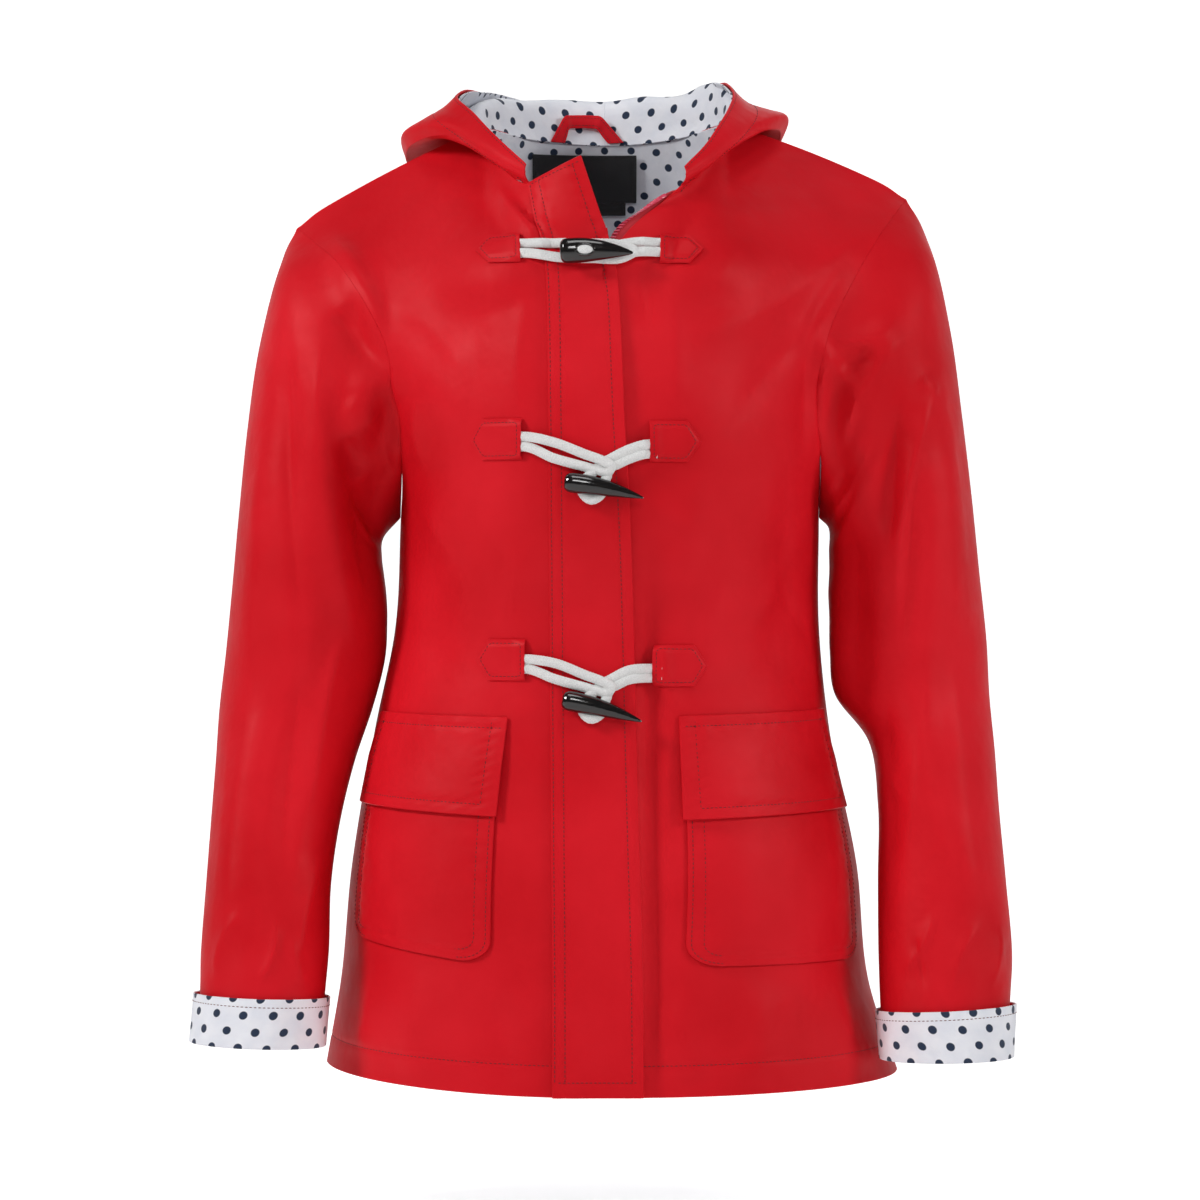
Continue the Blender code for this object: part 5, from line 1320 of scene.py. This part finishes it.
@dataclass
class Fastening:
    """One toggle, its two five-sided patches, the loop that holds it and the cord it hangs on."""

    index: int
    cord: float = 2.55
    deep: float = 6.2
    flap_off: float = 2 * LIFT + SHELL + 0.6
    patch_point: float = 9.0
    patch_tip: float = 0.7
    sewn_in: float = 2.4

    def build(self) -> None:
        """Make every piece of this fastening."""
        self.row = {name: values[self.index] for name, values in TOGGLES.items()}
        self.place = TOGGLE_PLACES[self.index]
        stitches = Stitching(f"patch_stitching_{self.place}", pitch=2.9, length=2.1, radius=0.26)
        for side in Side:
            self.patch(side, stitches)
        stitches.build()
        self.loop()
        self.carrier()
        self.toggle()
        log.info("fastening %s", self.place)

    def patch(self, side: Side, stitches: Stitching) -> None:
        """A patch, its point away from the front edge, sewn all round and across its mouth."""
        tip, inner = self.row[side.word + "_tip"], self.row[side.word + "_in"]
        height, tall = self.row[side.word + "_z"], self.row["tall"]
        length = abs(inner - tip)
        reach = np.concatenate([np.linspace(0, self.patch_point, 12)[:-1],
                                np.linspace(self.patch_point, length, 22)])
        half = np.interp(reach, [0, self.patch_point], [self.patch_tip, tall / 2])
        rows = np.linspace(1, -1, 22)
        x = tip - side * np.repeat(reach[None], 22, axis=0)
        z = height + rows[:, None] * half[None, :]
        edge = np.minimum((1 - np.abs(rows))[:, None] * half[None], (length - reach)[None])
        points, facing = self.on_panel(side, x, z)
        lump = self.lump(edge, (length - reach)[None], np.abs(rows)[:, None])
        points = points + facing * lump[..., None]
        Cloth(f"patch_{side.word}_{self.place}_cloth", points, facing, LIFT, SHELL,
              outside=Finish.TRIM, rests_on=(f"front_{side.word}_cloth",)).build()
        inset, half = self.sewn_in, tall / 2 - self.sewn_in
        corners = np.array([[3.6, 0], [self.patch_point + 1.0, half], [length - inset, half],
                            [length - inset, -half], [self.patch_point + 1.0, -half], [3.6, 0]])
        at = walked(corners)
        even = np.linspace(0, at[-1], 90)
        line_x = tip - side * np.interp(even, at, corners[:, 0])
        line_z = height + np.interp(even, at, corners[:, 1])
        points, facing = self.on_panel(side, line_x[None], line_z[None])
        from_mouth = length - np.abs(line_x - tip)
        whole = np.interp(length - from_mouth, [0, self.patch_point], [self.patch_tip, tall / 2])
        beside = np.abs(line_z - height)
        edge = np.minimum(whole - beside, from_mouth)
        points = points + facing * self.lump(edge, from_mouth, beside / whole)[None, :, None]
        stitches.line((points + facing * (LIFT + SHELL + 0.05))[0], facing[0])

    def lump(self, edge: Array, from_mouth: Array, beside: Array) -> Array:
        """How far a patch stands up: puffed inside its seam, and raised over the cord's ends."""
        mouth = 2.7 * bump(from_mouth, 6.5) * np.clip(1.5 - 1.5 * beside**4, 0, 1)
        return 0.7 * np.clip(edge / 5, 0, 1) - 0.4 * bump(edge - self.sewn_in, 1.2) + mouth

    @staticmethod
    def on_panel(side: Side, x: Array, z: Array) -> Pair:
        """Points and normals of a front panel at grids of x and z."""
        panel = Panel(side)
        return panel.sheet(panel.locate(x, z), x.shape)

    def lying(self, corners: list, count: int, foot_x: float, flap_x: float) -> Array:
        """A cord through corners (x, z, raise), lying on the panel and then on the storm flap."""
        x, z, lift = smooth_path(corners, count).T
        onto = np.clip((x - foot_x) / (flap_x - foot_x), 0, 1)
        rest = panel_depth(x, z) - self.cord - LIFT - (self.flap_off + 0.9) * onto
        return np.stack([x, rest - lift, z], axis=1)

    def strand(self, kind: str, path: Array) -> None:
        """A soft braided cord along a path, a little flattened."""
        name = f"{kind}_{self.place}"
        braid = tube(path, self.cord * 1.28, self.cord * 0.62, 20, 0.06, 4.2)
        made = mesh_piece(name + "_braid", *braid, [Finish.CORD])
        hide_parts(name)
        log.info("%s: %.0f mm", name, walked(path)[-1])

    def loop(self) -> None:
        """Two strands from the left patch that meet where the other cord passes through them."""
        row = self.row
        x, z, start = row["cross_x"], row["cross_z"], row["left_in"]
        mouth = row["left_z"] - (0.2, 2.0, 2.8)[self.index]
        if self.index:
            body = [(x - 34, z + 15, 0), (x - 13, z + 6.9, 0.8), (x + 0.5, z + 1.6, 2.4),
                    (x + 5, z - 1.2, 2.8), (x + 3.5, z - 4.6, 2.2), (x - 4.5, z - 3.9, 0.8),
                    (x - 13, z - 1.6, 0.3), (x - 34, z + 4.2, 0)]
        else:
            body = [(-31, -64.2, 0), (-10, -64.5, 0), (14, -67, 0.4), (20, -70, 0.8),
                    (14, -74, 0.4), (-10, -75, 0), (-31, -74.4, 0)]
        corners = [(start - 5, mouth + 3.5, -0.6), (start + 1, mouth + 3.4, -0.3), *body,
                   (start + 1, mouth - 3.4, -0.3), (start - 5, mouth - 3.5, -0.6)]
        self.strand("loop_cord", self.lying(corners, 230, start + 3, -44.0))

    def carrier(self) -> None:
        """The cord from the right patch, through the loop and through its toggle and back."""
        row = self.row
        x, z, start = row["cross_x"], row["cross_z"], row["right_in"]
        mouth = row["right_z"] + (1.0, -5.4, -5.0)[self.index]
        low = row["butt_z"] - (0, 12.2, 13.2)[self.index]
        if self.index:
            body = [(x + 16.5, z + 9.8, 0), (x + 6, z + 4.6, 0), (x - 1, z + 0.6, -0.3),
                    (x - 8, z - 6, 0.8), (x - 14, z - 12, 1.5), (x - 14.5, low + 5, 1.5),
                    (x - 8.5, low, 2.6), (x - 2.5, low + 3, 1.5), (x + 0.5, z - 12, 1.5),
                    (x + 2.5, z - 6.5, 0.8), (x + 1, z - 2, -0.3), (x + 6, z - 1.2, 0),
                    (x + 16.5, z + 3.4, 0)]
        else:
            body = [(24, -63.6, 0), (8, -66, 0), (-6, -69, 0), (8, -72.5, 0), (24, -70.4, 0)]
        corners = [(start + 5, mouth + 3.3, -0.6), (start - 1, mouth + 3.2, -0.3), *body,
                   (start - 1, mouth - 3.2, -0.3), (start + 5, mouth - 3.3, -0.6)]
        count = 260 if self.index else 150
        self.strand("toggle_cord", self.lying(corners, count, start - 1, 27.0))

    def toggle(self) -> None:
        """A polished horn, round at its butt and drawn out to a bent tip, with its cord hole."""
        row = self.row
        way = np.concatenate([np.linspace(0, 0.1, 16)[:-1], np.linspace(0.1, 0.94, 50)[:-1],
                              np.linspace(0.94, 1, 12)])
        size = np.interp(way, TOGGLE_SHAPE["way"], TOGGLE_SHAPE["size"])
        core = np.convolve(np.pad(size, 2, mode="edge"), np.ones(5) / 5, mode="valid")
        size = np.where((way > 0.08) & (way < 0.95), core, size)
        x = row["butt_x"] + (row["tip_x"] - row["butt_x"]) * way
        z = row["butt_z"] + (row["tip_z"] - row["butt_z"]) * way + 1.5 * np.sin(np.pi * way)
        coarse = [row["butt_x"] + (row["tip_x"] - row["butt_x"]) * k
                  for k in (0, 0.1, 0.35, 0.6, 0.8, 1)]
        surface = panel_depth(np.array(coarse), np.interp(coarse, x, z)).min()
        surface += row["seat"] - self.flap_off - 4.8 - LIFT - 3 * GAP
        y = 0 * x + surface - self.deep - 0.6
        path = np.stack([x, y, z], axis=1)
        parts = [tube(path, row["half"] * size, self.deep * size, 40)]
        hole = 0.34
        centre = np.array([np.interp(hole, way, x), y[0], np.interp(hole, way, z)])
        front = self.deep * np.interp(hole, way, size)
        turn = np.linspace(0, 2 * np.pi, 49)
        rim = centre + np.stack([6.4 * np.cos(turn), 0 * turn - front * 0.93,
                                 3.9 * np.sin(turn)], axis=1)
        if self.index == 0:
            parts.append(tube(rim, 0.9, 0.9, 12))
        made = mesh_piece(f"toggle_{self.place}_horn", *joined(parts), [Finish.HORN])
        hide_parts(f"toggle_{self.place}")
        if self.index == 0:
            plug = centre + np.stack([np.linspace(-5.6, 5.6, 22), np.full(22, -front * 0.93),
                                      np.zeros(22)], axis=1)
            round_off = np.sqrt(np.clip(1 - np.linspace(-1, 1, 22)**2, 0.02, 1))
            mesh_piece("toggle_top_cord_end", *tube(plug, 3.2 * round_off, 1.3 * round_off, 20),
                       [Finish.CORD])


@dataclass
class Hood:
    """Both halves of the hood laid back round the neck, their lining, and the rim's stitching."""

    columns: int = 132
    rows: int = 84
    fold: float = 7.0
    bend: float = 11.0
    seam_lift: float = 0.9
    clearance: float = 2.2
    reach: float = 30.0
    lowest: int = 5
    rows_under: int = 9
    rows_over: int = 6
    full: float = 25.0
    rim_cut: float = 2.6
    rim_line: float = 22.0
    coarse: int = 21
    lap: float = 3.4
    tuck_in: float = 1.9
    tuck_down: float = 4.2
    lining_ends: int = 17
    centre: tuple = (0.0, -18.0, 0.0)

    @staticmethod
    def seam(share: Array) -> Array:
        """Points along the neck seam, from the left front end (0) round to the right one (1)."""
        left, right = FRONT_TOP[Side.LEFT], FRONT_TOP[Side.RIGHT]
        back = BACK_TOP
        points = np.concatenate([
            columns_of(left, *"xyz")[1:5], columns_of(back[Side.LEFT], *"xyz")[2:0:-1],
            columns_of(back[Side.LEFT], *"xyz")[:1], columns_of(back[Side.RIGHT], *"xyz")[1:3],
            columns_of(right, *"xyz")[4:0:-1], columns_of(right, *"xyz")[:1]])
        knots = walked(points)
        middle = knots[6]
        scaled = np.where(knots <= middle, 0.5 * knots / middle,
                          0.5 + 0.5 * (knots - middle) / (knots[-1] - middle))
        return curve(scaled, points, share)

    def profiles(self, share: Array) -> list[Array]:
        """Outward distance and height of nine points up the hood from the neck seam.

        Towards the front ends, where the hood has no fold, they lie on one open arc.
        """
        names = ("rise", "lean", "reach", "drop", "swell", "rim_out", "rim_up")
        made = curve(HOOD_SECTIONS["share"], columns_of(HOOD_SECTIONS, *names), share)
        rise, lean, reach, drop, swell, rim_out, rim_up = made.T
        size = np.clip(reach / 40, 0, 1)
        fold_out, fold_down = lean + self.fold * size, rise - 5 * size
        lift = self.seam_lift
        out = [0 * rise, 0.3 * lean, lean, fold_out, fold_out + 0.55 * (reach - fold_out), reach,
               reach + self.bend / 3 * size, (reach + rim_out) / 2 + swell, rim_out]
        up = [0 * rise + lift, 0.55 * rise + lift, rise + lift, fold_down,
              fold_down + 0.7 * (drop - fold_down), drop, drop + self.bend * size,
              (drop + rim_up) / 2 + swell / 2, rim_up]
        t = np.linspace(0, 1, len(out))[:, None]
        arc = []
        for path, low, rim in ((out, reach, rim_out), (up, drop, rim_up)):
            bend = 2 * low - (path[0] + rim) / 2
            arc.append((1 - t)**2 * path[0] + 2 * t * (1 - t) * bend + t**2 * rim)
        folded_share = np.clip((rise - 3.0) / 3.0, 0, 1)
        return [a + (np.array(p) - a) * folded_share for a, p in zip(arc, (out, up))]

    @staticmethod
    def spread(places: Array, at: Array) -> Array:
        """Points along each column's own smooth curve, at these shares of its length."""
        knots = walked(places)
        knots = knots / knots[-1]
        return np.stack([curve(knots[:, j], places[:, j], at) for j in range(places.shape[1])], 1)

    def lift_off(self, points: Array, floor: Array, facing: Array, least: Array) -> Array:
        """How far each point moves to clear the panels' sample points by its own clearance."""
        far = np.linalg.norm(points[:, None] - floor[None], axis=2)
        near = far.argmin(axis=1)
        over = np.einsum("ij,ij->i", points - floor[near], facing[near])
        return facing[near] * np.clip(least - over, 0, self.reach)[:, None]

    def grid(self, panels: dict) -> Array:
        """The hood's outer points at a coarse count of columns and rows, clear of the panels."""
        shares = np.linspace(0, 1, self.coarse)
        seam = self.seam(shares)
        outward = unit((seam - np.array(self.centre)) * np.array([1, 1, 0]))
        out, up = self.profiles(shares)
        places = np.stack([out, up], axis=-1)
        close_at_both = 0.5 - 0.5 * np.cos(np.linspace(0, np.pi, self.rows_under))
        close_at_start = 1 - np.cos(np.linspace(0, np.pi / 2, self.rows_over))
        under = self.spread(places[:self.lowest + 1], close_at_both)
        over = self.spread(places[self.lowest:], close_at_start)
        grid = np.concatenate([under, over[1:]])
        points = seam[None] + outward[None] * grid[..., :1] + np.array([0, 0, 1.0]) * grid[..., 1:]
        floor = np.concatenate([g[::2, ::2].reshape(-1, 3) for g, _ in panels.values()])
        facing = np.concatenate([n[::2, ::2].reshape(-1, 3) for _, n in panels.values()])
        clearance = np.interp(np.arange(len(points)), [0, 5], [self.seam_lift, self.clearance])
        clearance = clearance[:, None] * np.clip(out.max(axis=0) / self.full, 0.4, 1)
        lift = np.stack([self.lift_off(row, floor, facing, least)
                         for row, least in zip(points, clearance)])
        lift *= np.clip(np.minimum(shares, 1 - shares) / 0.04, 0, 1)[None, :, None]
        first = self.rows_under
        carried = lift[first - 2:0:-1][:self.rows_over - 1]
        lift[first:first + len(carried)] += carried * np.linspace(1, 0, len(carried))[:, None, None]
        for _ in range(2):
            beside = np.concatenate([lift[:, :1], lift, lift[:, -1:]], axis=1)
            lift = (2 * lift + beside[:, :-2] + beside[:, 2:]) / 4
            lift[1:-1] = (2 * lift[1:-1] + lift[:-2] + lift[2:]) / 4
            lift[0] = 0
        return points + lift

    def build(self, panels: dict) -> None:
        """The coated shell and the dotted lining, each in two halves, and the line at the rim."""
        coarse = self.grid(panels)
        shell = refined(coarse, self.rows, self.columns + 1)
        lining = coarse.copy()
        for end, inner in ((0, 1), (-1, -2)):
            lining[:, end] = (lining[:, end] + lining[:, inner]) / 2
        bend = slice(self.rows_under - 2, self.rows_under + 1)
        across_bend = (lining[self.rows_under - 4] + lining[self.rows_under + 2]) / 2
        lining[bend] += unit(across_bend - lining[bend]) * 1.1
        lining = refined(lining, self.rows, self.columns + 1)
        u, v = np.meshgrid(np.linspace(0, 1, self.columns + 1), np.linspace(0, 1, self.rows))
        facing, inner_facing = self.facing(shell), self.facing(lining)
        over = np.clip((v - 0.62) / 0.2, 0, 1)
        way = unit(np.gradient(shell, axis=0))
        back = np.clip((np.minimum(u, 1 - u) - 0.24) / 0.06, 0, 1)
        ramp = np.clip((v - 0.8) / 0.2, 0, 1)**2
        shell = shell - way * (self.rim_cut * back * ramp)[..., None]
        dent = seam_dent(self.to_rim(shell) - self.rim_line, u * 640, 0.5)
        tuck = np.clip(1 - v / 0.06, 0, 1) * np.clip((0.18 - np.minimum(u, 1 - u)) / 0.06, 0, 1)
        shell = shell - facing * (self.tuck_in * tuck)[..., None]
        shell[..., 2] -= self.tuck_down * tuck
        shell = shell + facing * ((strokes(HOOD_FOLDS, u, v, 0.5) + 0.6) * over + dent)[..., None]
        creased = strokes(LINING_FOLDS, u, v, 0.5) * over
        foot = np.clip(1 - v / 0.05, 0, 1) * np.clip((np.minimum(u, 1 - u) - 0.14) / 0.05, 0, 1)
        lining = lining + inner_facing * (creased - 1.0 * foot)[..., None]
        lining[..., 2] -= self.lap * foot
        facing, inner_facing = self.facing(shell), self.facing(lining)
        half, ends = self.columns // 2, self.lining_ends
        stitches = Stitching("hood_stitching")
        for side, part, lined in ((Side.LEFT, slice(0, half + 1), slice(ends, half + 1)),
                                  (Side.RIGHT, slice(half, None), slice(half, -ends))):
            name = side.word
            Cloth(f"hood_{name}_cloth", trimmed(shell[:, part], False, GAP / 2), facing[:, part],
                  -SHELL, SHELL, rests_on=(f"front_{name}_cloth", "back_cloth")).build()
            Cloth(f"hood_lining_{name}_cloth", trimmed(lining[:, lined], False, GAP),
                  inner_facing[:, lined], -SHELL - 2 * GAP - LINING, LINING,
                  outside=Finish.DOTTED, rests_on=(f"hood_{name}_cloth",)).build()
            stitches.line(*self.row_at(shell[:, part], facing[:, part], self.rim_line))
            stitches.line(*self.row_at(shell[:, part], facing[:, part], 2.2))
        stitches.build()
        log.info("hood")

    def facing(self, grid: Array) -> Array:
        """Outward normals, square to the middle of the back."""
        facing = grid_normals(grid, False)
        middle = self.columns // 2
        facing[:, middle] = unit(facing[:, middle] * np.array([0, 1, 1]))
        return facing * np.sign((facing[-12] * (grid[-12] - np.array(self.centre))).sum())

    @staticmethod
    def to_rim(grid: Array) -> Array:
        """Length of cloth from each point up to the rim."""
        length = walked(grid)
        return length[-1:] - length

    def row_at(self, grid: Array, facing: Array, inside: float) -> Pair:
        """The line that runs so far inside the rim, with its normals."""
        left = self.to_rim(grid)
        row = (left > inside).sum(axis=0) - 1
        column = np.arange(grid.shape[1])
        near, far = left[row, column], left[row + 1, column]
        share = ((near - inside) / (near - far))[:, None]
        line = grid[row, column] * (1 - share) + grid[row + 1, column] * share
        return line, unit(facing[row, column])


@dataclass
class Neck:
    """What is sewn inside the back of the neck: lining, label, size tab and hanger loop."""

    share: float = 0.40
    tall: float = 2 / 3
    off: float = 2.1
    front: float = 4.2
    strap: float = 1.4

    def build(self, panels: dict) -> None:
        """Make the four pieces."""
        grid, facing = panels["back"]
        middle, reach = PANEL_COLUMNS - 1, int(self.share * (PANEL_COLUMNS - 1))
        part = (slice(-1 - int(self.tall * ROWS_ABOVE), None),
                slice(middle - reach, middle + reach + 1))
        Cloth("neck_lining_cloth", trimmed(grid[part], False, GAP), facing[part],
              -SHELL - GAP - LINING, LINING, outside=Finish.DOTTED,
              rests_on=("back_cloth",)).build()
        stitches = Stitching("label_stitching", pitch=2.4, length=1.8, radius=0.2)
        for name, box, columns in (("label", (-53, 23, 17, -16), 64),
                                   ("size_tab", (-6, 15, -16.6, -25), 24)):
            self.tab(name, box, columns, stitches)
        stitches.build(Finish.LABEL)
        self.hanger()
        log.info("neck")

    def tab(self, name: str, box: tuple, columns: int, stitches: Stitching) -> None:
        """A woven tab (left, right, top, foot) with raised selvedges, sewn at both ends."""
        x, z = np.meshgrid(np.linspace(box[0], box[1], columns), np.linspace(box[2], box[3], 24))
        y = panel_depth(x, z, True).reshape(x.shape)
        edge = np.minimum(np.minimum(x - box[0], box[1] - x), np.minimum(box[2] - z, z - box[3]))
        soft = 0.25 * np.sin(x / 7) * np.sin(z / 9 + 1)
        y = y - SHELL - GAP - LINING - self.off - TAPE + 0.35 * bump(edge - 2.4, 0.9) - soft
        grid = np.stack([x, y, z], axis=-1)
        facing = facing_front(grid)
        Cloth(name + "_tape", grid, facing, 0, TAPE, outside=Finish.LABEL,
              held=Held.FLAT, rests_on=("neck_lining_cloth",)).build()
        inset = max(1, columns // 28)
        for column in (inset, -1 - inset):
            line = (grid + facing * (TAPE + 0.05))[1:-1, column]
            stitches.line(line, facing[1:-1, column])

    def hanger(self) -> None:
        """A folded strap bent into a flat-topped loop, sewn along both edges."""
        at = np.linspace(0, 4, 81)
        knots = np.arange(5)
        across = np.linspace(0, 1, 11)[:, None]
        soft = [np.convolve(np.pad(np.interp(at, knots, HANGER[name]), 3, mode="edge"),
                            np.ones(7) / 7, mode="valid")
                for name in ("outer_x", "outer_z", "inner_x", "inner_z")]
        x = soft[0] + (soft[2] - soft[0]) * across
        z = soft[1] + (soft[3] - soft[1]) * across
        ring = Hood.seam(np.linspace(0.35, 0.65, 31))
        y = np.interp(x, ring[:, 0], ring[:, 1]) - self.front - 0.5 * np.sin(np.pi * across)
        y = y - 0.8 * bump(at - 1, 0.2) - 0.8 * bump(at - 3, 0.2)
        grid = np.stack([x, y, z], axis=-1)
        facing = facing_front(grid)
        Cloth("hanger_loop_strap", grid, facing, 0, self.strap, outside=Finish.STRAP,
              held=Held.FOLDED,
              rests_on=("hood_lining_left_cloth", "hood_lining_right_cloth")).build()
        stitches = Stitching("hanger_stitching", pitch=2.5, length=1.8, radius=0.22)
        top = grid + facing * (self.strap + 0.04)
        stitches.line(top[2], facing[2])
        stitches.line(top[-3], facing[-3])
        stitches.build()


@dataclass
class Zip:
    """Two tapes behind the front edges, their moulded teeth, and the slider between them."""

    beyond: float = 3.0
    parted: float = 6.5
    under: float = 0.4
    pitch: float = 2.9
    tooth: tuple = (4.0, 2.6, 1.7)
    slider_z: float = -76.0
    slider: tuple = (6.2, 11.0, 3.4)

    def build(self, panels: dict) -> None:
        """Make the tapes, the teeth and the slider."""
        for side in Side:
            grid, facing = (part[3:-2, :7] for part in panels["front_" + side.word])
            apart = np.clip((grid[:, :1, 2:] - self.slider_z) / 30, 0, 1) * (side is Side.RIGHT)
            out = unit(grid[:, :1] - grid[:, 1:2])
            edge = grid[:, :1] + out * (self.beyond + self.parted * apart)
            points = np.concatenate([edge, grid], axis=1)
            turned = np.concatenate([facing[:, :1], facing], axis=1)
            inside = -SHELL - self.under - TAPE
            Cloth(f"zip_tape_{side.word}_cloth", points, turned, inside, TAPE,
                  outside=Finish.TAPE, rests_on=(f"front_{side.word}_cloth",)).build()
            self.teeth(side, points[:, 0] + turned[:, 0] * (inside + TAPE / 2 + 0.5)
                       + out[:, 0] * 0.9 * apart[:, 0],
                       unit(points[:, 0] - points[:, 1]), turned[:, 0])
        self.body()
        log.info("zip")

    def teeth(self, side: Side, edge: Array, out: Array, facing: Array) -> None:
        """Small bevelled blocks over the tape's edge, the left ones half a pitch higher."""
        if side is Side.LEFT:
            shift = unit(edge[1] - edge[0]) * self.pitch / 2
            edge = np.concatenate([edge[:1] + shift, edge[1:]])
        edge, out, facing = spaced(edge, self.pitch, out, facing)
        out = unit(out)
        along_it = unit(np.gradient(edge, axis=0))
        facing = unit(np.cross(along_it, out))
        long, deep, tall = self.tooth
        corners = np.array([[a, b, c] for b, k in ((-1, 0.72), (-0.45, 1), (0.45, 1), (1, 0.72))
                            for a, c in ((-k, -k), (k, -k), (k, k), (-k, k))], float) / 2
        block = (edge[:, None] + out[:, None] * corners[None, :, 0:1] * long
                 + facing[:, None] * corners[None, :, 1:2] * deep
                 + along_it[:, None] * corners[None, :, 2:3] * tall)
        caps = [[3, 2, 1, 0], [12, 13, 14, 15]]
        one = np.concatenate([quads(np.arange(16).reshape(4, 4), True), caps])
        faces = copies(one, 16, len(edge))
        points = block.reshape(-1, 3)
        mesh_piece(f"zip_teeth_{side.word}", points, outward_faces(points, faces), [Finish.TEETH])

    def body(self) -> None:
        """The slider: a waisted oval block that rides where the tapes part."""
        y = panel_depth(np.array([-4.0]), np.array([self.slider_z]))[0] + SHELL / 2 - GAP
        wide, tall, deep = self.slider
        way = np.linspace(-1, 1, 40)
        size = np.sqrt(np.clip(1 - way**8, 0.03, 1)) * (1 - 0.16 * bump(way - 0.1, 0.35))
        path = np.stack([0 * way, y + 0 * way, self.slider_z + way * tall / 2], axis=1)
        made = mesh_piece("zip_slider_body", *tube(path, wide / 2 * size, deep / 4 * size, 32),
                          [Finish.SLIDER])
        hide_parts("zip_slider")


class Studio:
    """Pale sweep, soft lights and the camera at the photograph's viewing angle."""

    EYE = (-0.0036, -3.0, -0.3096)
    LENS = 125.0

    def build(self) -> None:
        """Set up the floor, the lights, the even surroundings and the camera."""
        self.sweep()
        for name, place, aim, size, power in (
                ("key", (-2.2, -1.2, 1.2), (0, 0, -0.3), 0.6, 40),
                ("fill", (2.3, -1.2, 0.7), (0, 0, -0.3), 0.6, 22),
                ("top", (0.1, -0.9, 1.9), (0, 0, -0.2), 0.8, 8),
                ("front", (0.1, -2.9, 1.1), (0, 0, -0.1), 0.6, 13),
                ("behind", (0.3, 2.0, 1.1), (0, 0, -0.2), 1.6, 7)):
            self.lamp(name, np.array(place), np.array(aim), size, power)
        world = bpy.data.worlds.new("surroundings")
        world.use_nodes = True
        world.node_tree.nodes["Background"].inputs["Color"].default_value = (1, 1, 1, 1)
        world.node_tree.nodes["Background"].inputs["Strength"].default_value = 0.08
        bpy.context.scene.world = world
        bpy.context.scene.view_settings.view_transform = "Standard"
        camera = bpy.data.cameras.new("camera")
        camera.lens, camera.sensor_width = self.LENS, 36.0
        eye = placed("camera", camera)
        eye.location, eye.rotation_euler = self.EYE, (np.pi / 2, 0, 0)
        bpy.context.scene.camera = eye

    @staticmethod
    def lamp(name: str, place: Array, aim: Array, size: float, power: float) -> None:
        """A square soft light turned to a point."""
        lamp = bpy.data.lights.new(name, "AREA")
        lamp.size, lamp.energy = size, power
        holder = placed(name, lamp)
        holder.location = place
        holder.rotation_euler = Vector(aim - place).to_track_quat("-Z", "Y").to_euler()

    @staticmethod
    def sweep() -> None:
        """A floor 90 mm under the hem that curves up into a wall behind."""
        turn = np.linspace(0, np.pi / 2, 17)
        y = np.concatenate([[-6], 1.8 + 1.5 * np.sin(turn), [3.3]])
        z = np.concatenate([[-0.74], 0.76 - 1.5 * np.cos(turn), [5]])
        x = np.array([-7.0, 7.0])
        points = np.stack([np.tile(x, len(y)), np.repeat(y, 2), np.repeat(z, 2)], axis=1)
        start = np.arange(len(y) - 1) * 2
        faces = np.stack([start, start + 1, start + 3, start + 2], axis=1)
        mesh = bpy.data.meshes.new("floor")
        mesh.from_pydata(points.tolist(), [], faces.tolist())
        sheet = NodeSheet("floor_pale")
        tint = sheet.mix(sheet.noise(3, 2), (0.90, 0.90, 0.90, 1), (0.94, 0.94, 0.94, 1))
        seen = sheet.add("LightPath").outputs["Is Camera Ray"]
        mesh.materials.append(sheet.finish(Base_Color=tint, Roughness=0.8,
                                           Emission_Color=(1, 1, 1, 1),
                                           Emission_Strength=sheet.range(seen, 0, 1, 0.2, 0.7)))
        placed("floor", mesh)


def main() -> None:
    """Build every sub-assembly in order."""
    logging.basicConfig(level=logging.INFO, format="%(name)s: %(message)s")
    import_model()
    shell = Shell()
    shell.build()
    stitches = Stitching("cuff_stitching")
    for side in Side:
        Cuff(side).build(stitches)
    stitches.build()
    log.info("cuffs")
    StormFlap().build()
    for side in Side:
        Pocket(side).build()
    for index in range(len(TOGGLE_PLACES)):
        Fastening(index).build()
    Hood().build(shell.panels)
    Neck().build(shell.panels)
    Zip().build(shell.panels)
    Studio().build()


if __name__ == "__main__":
    main()
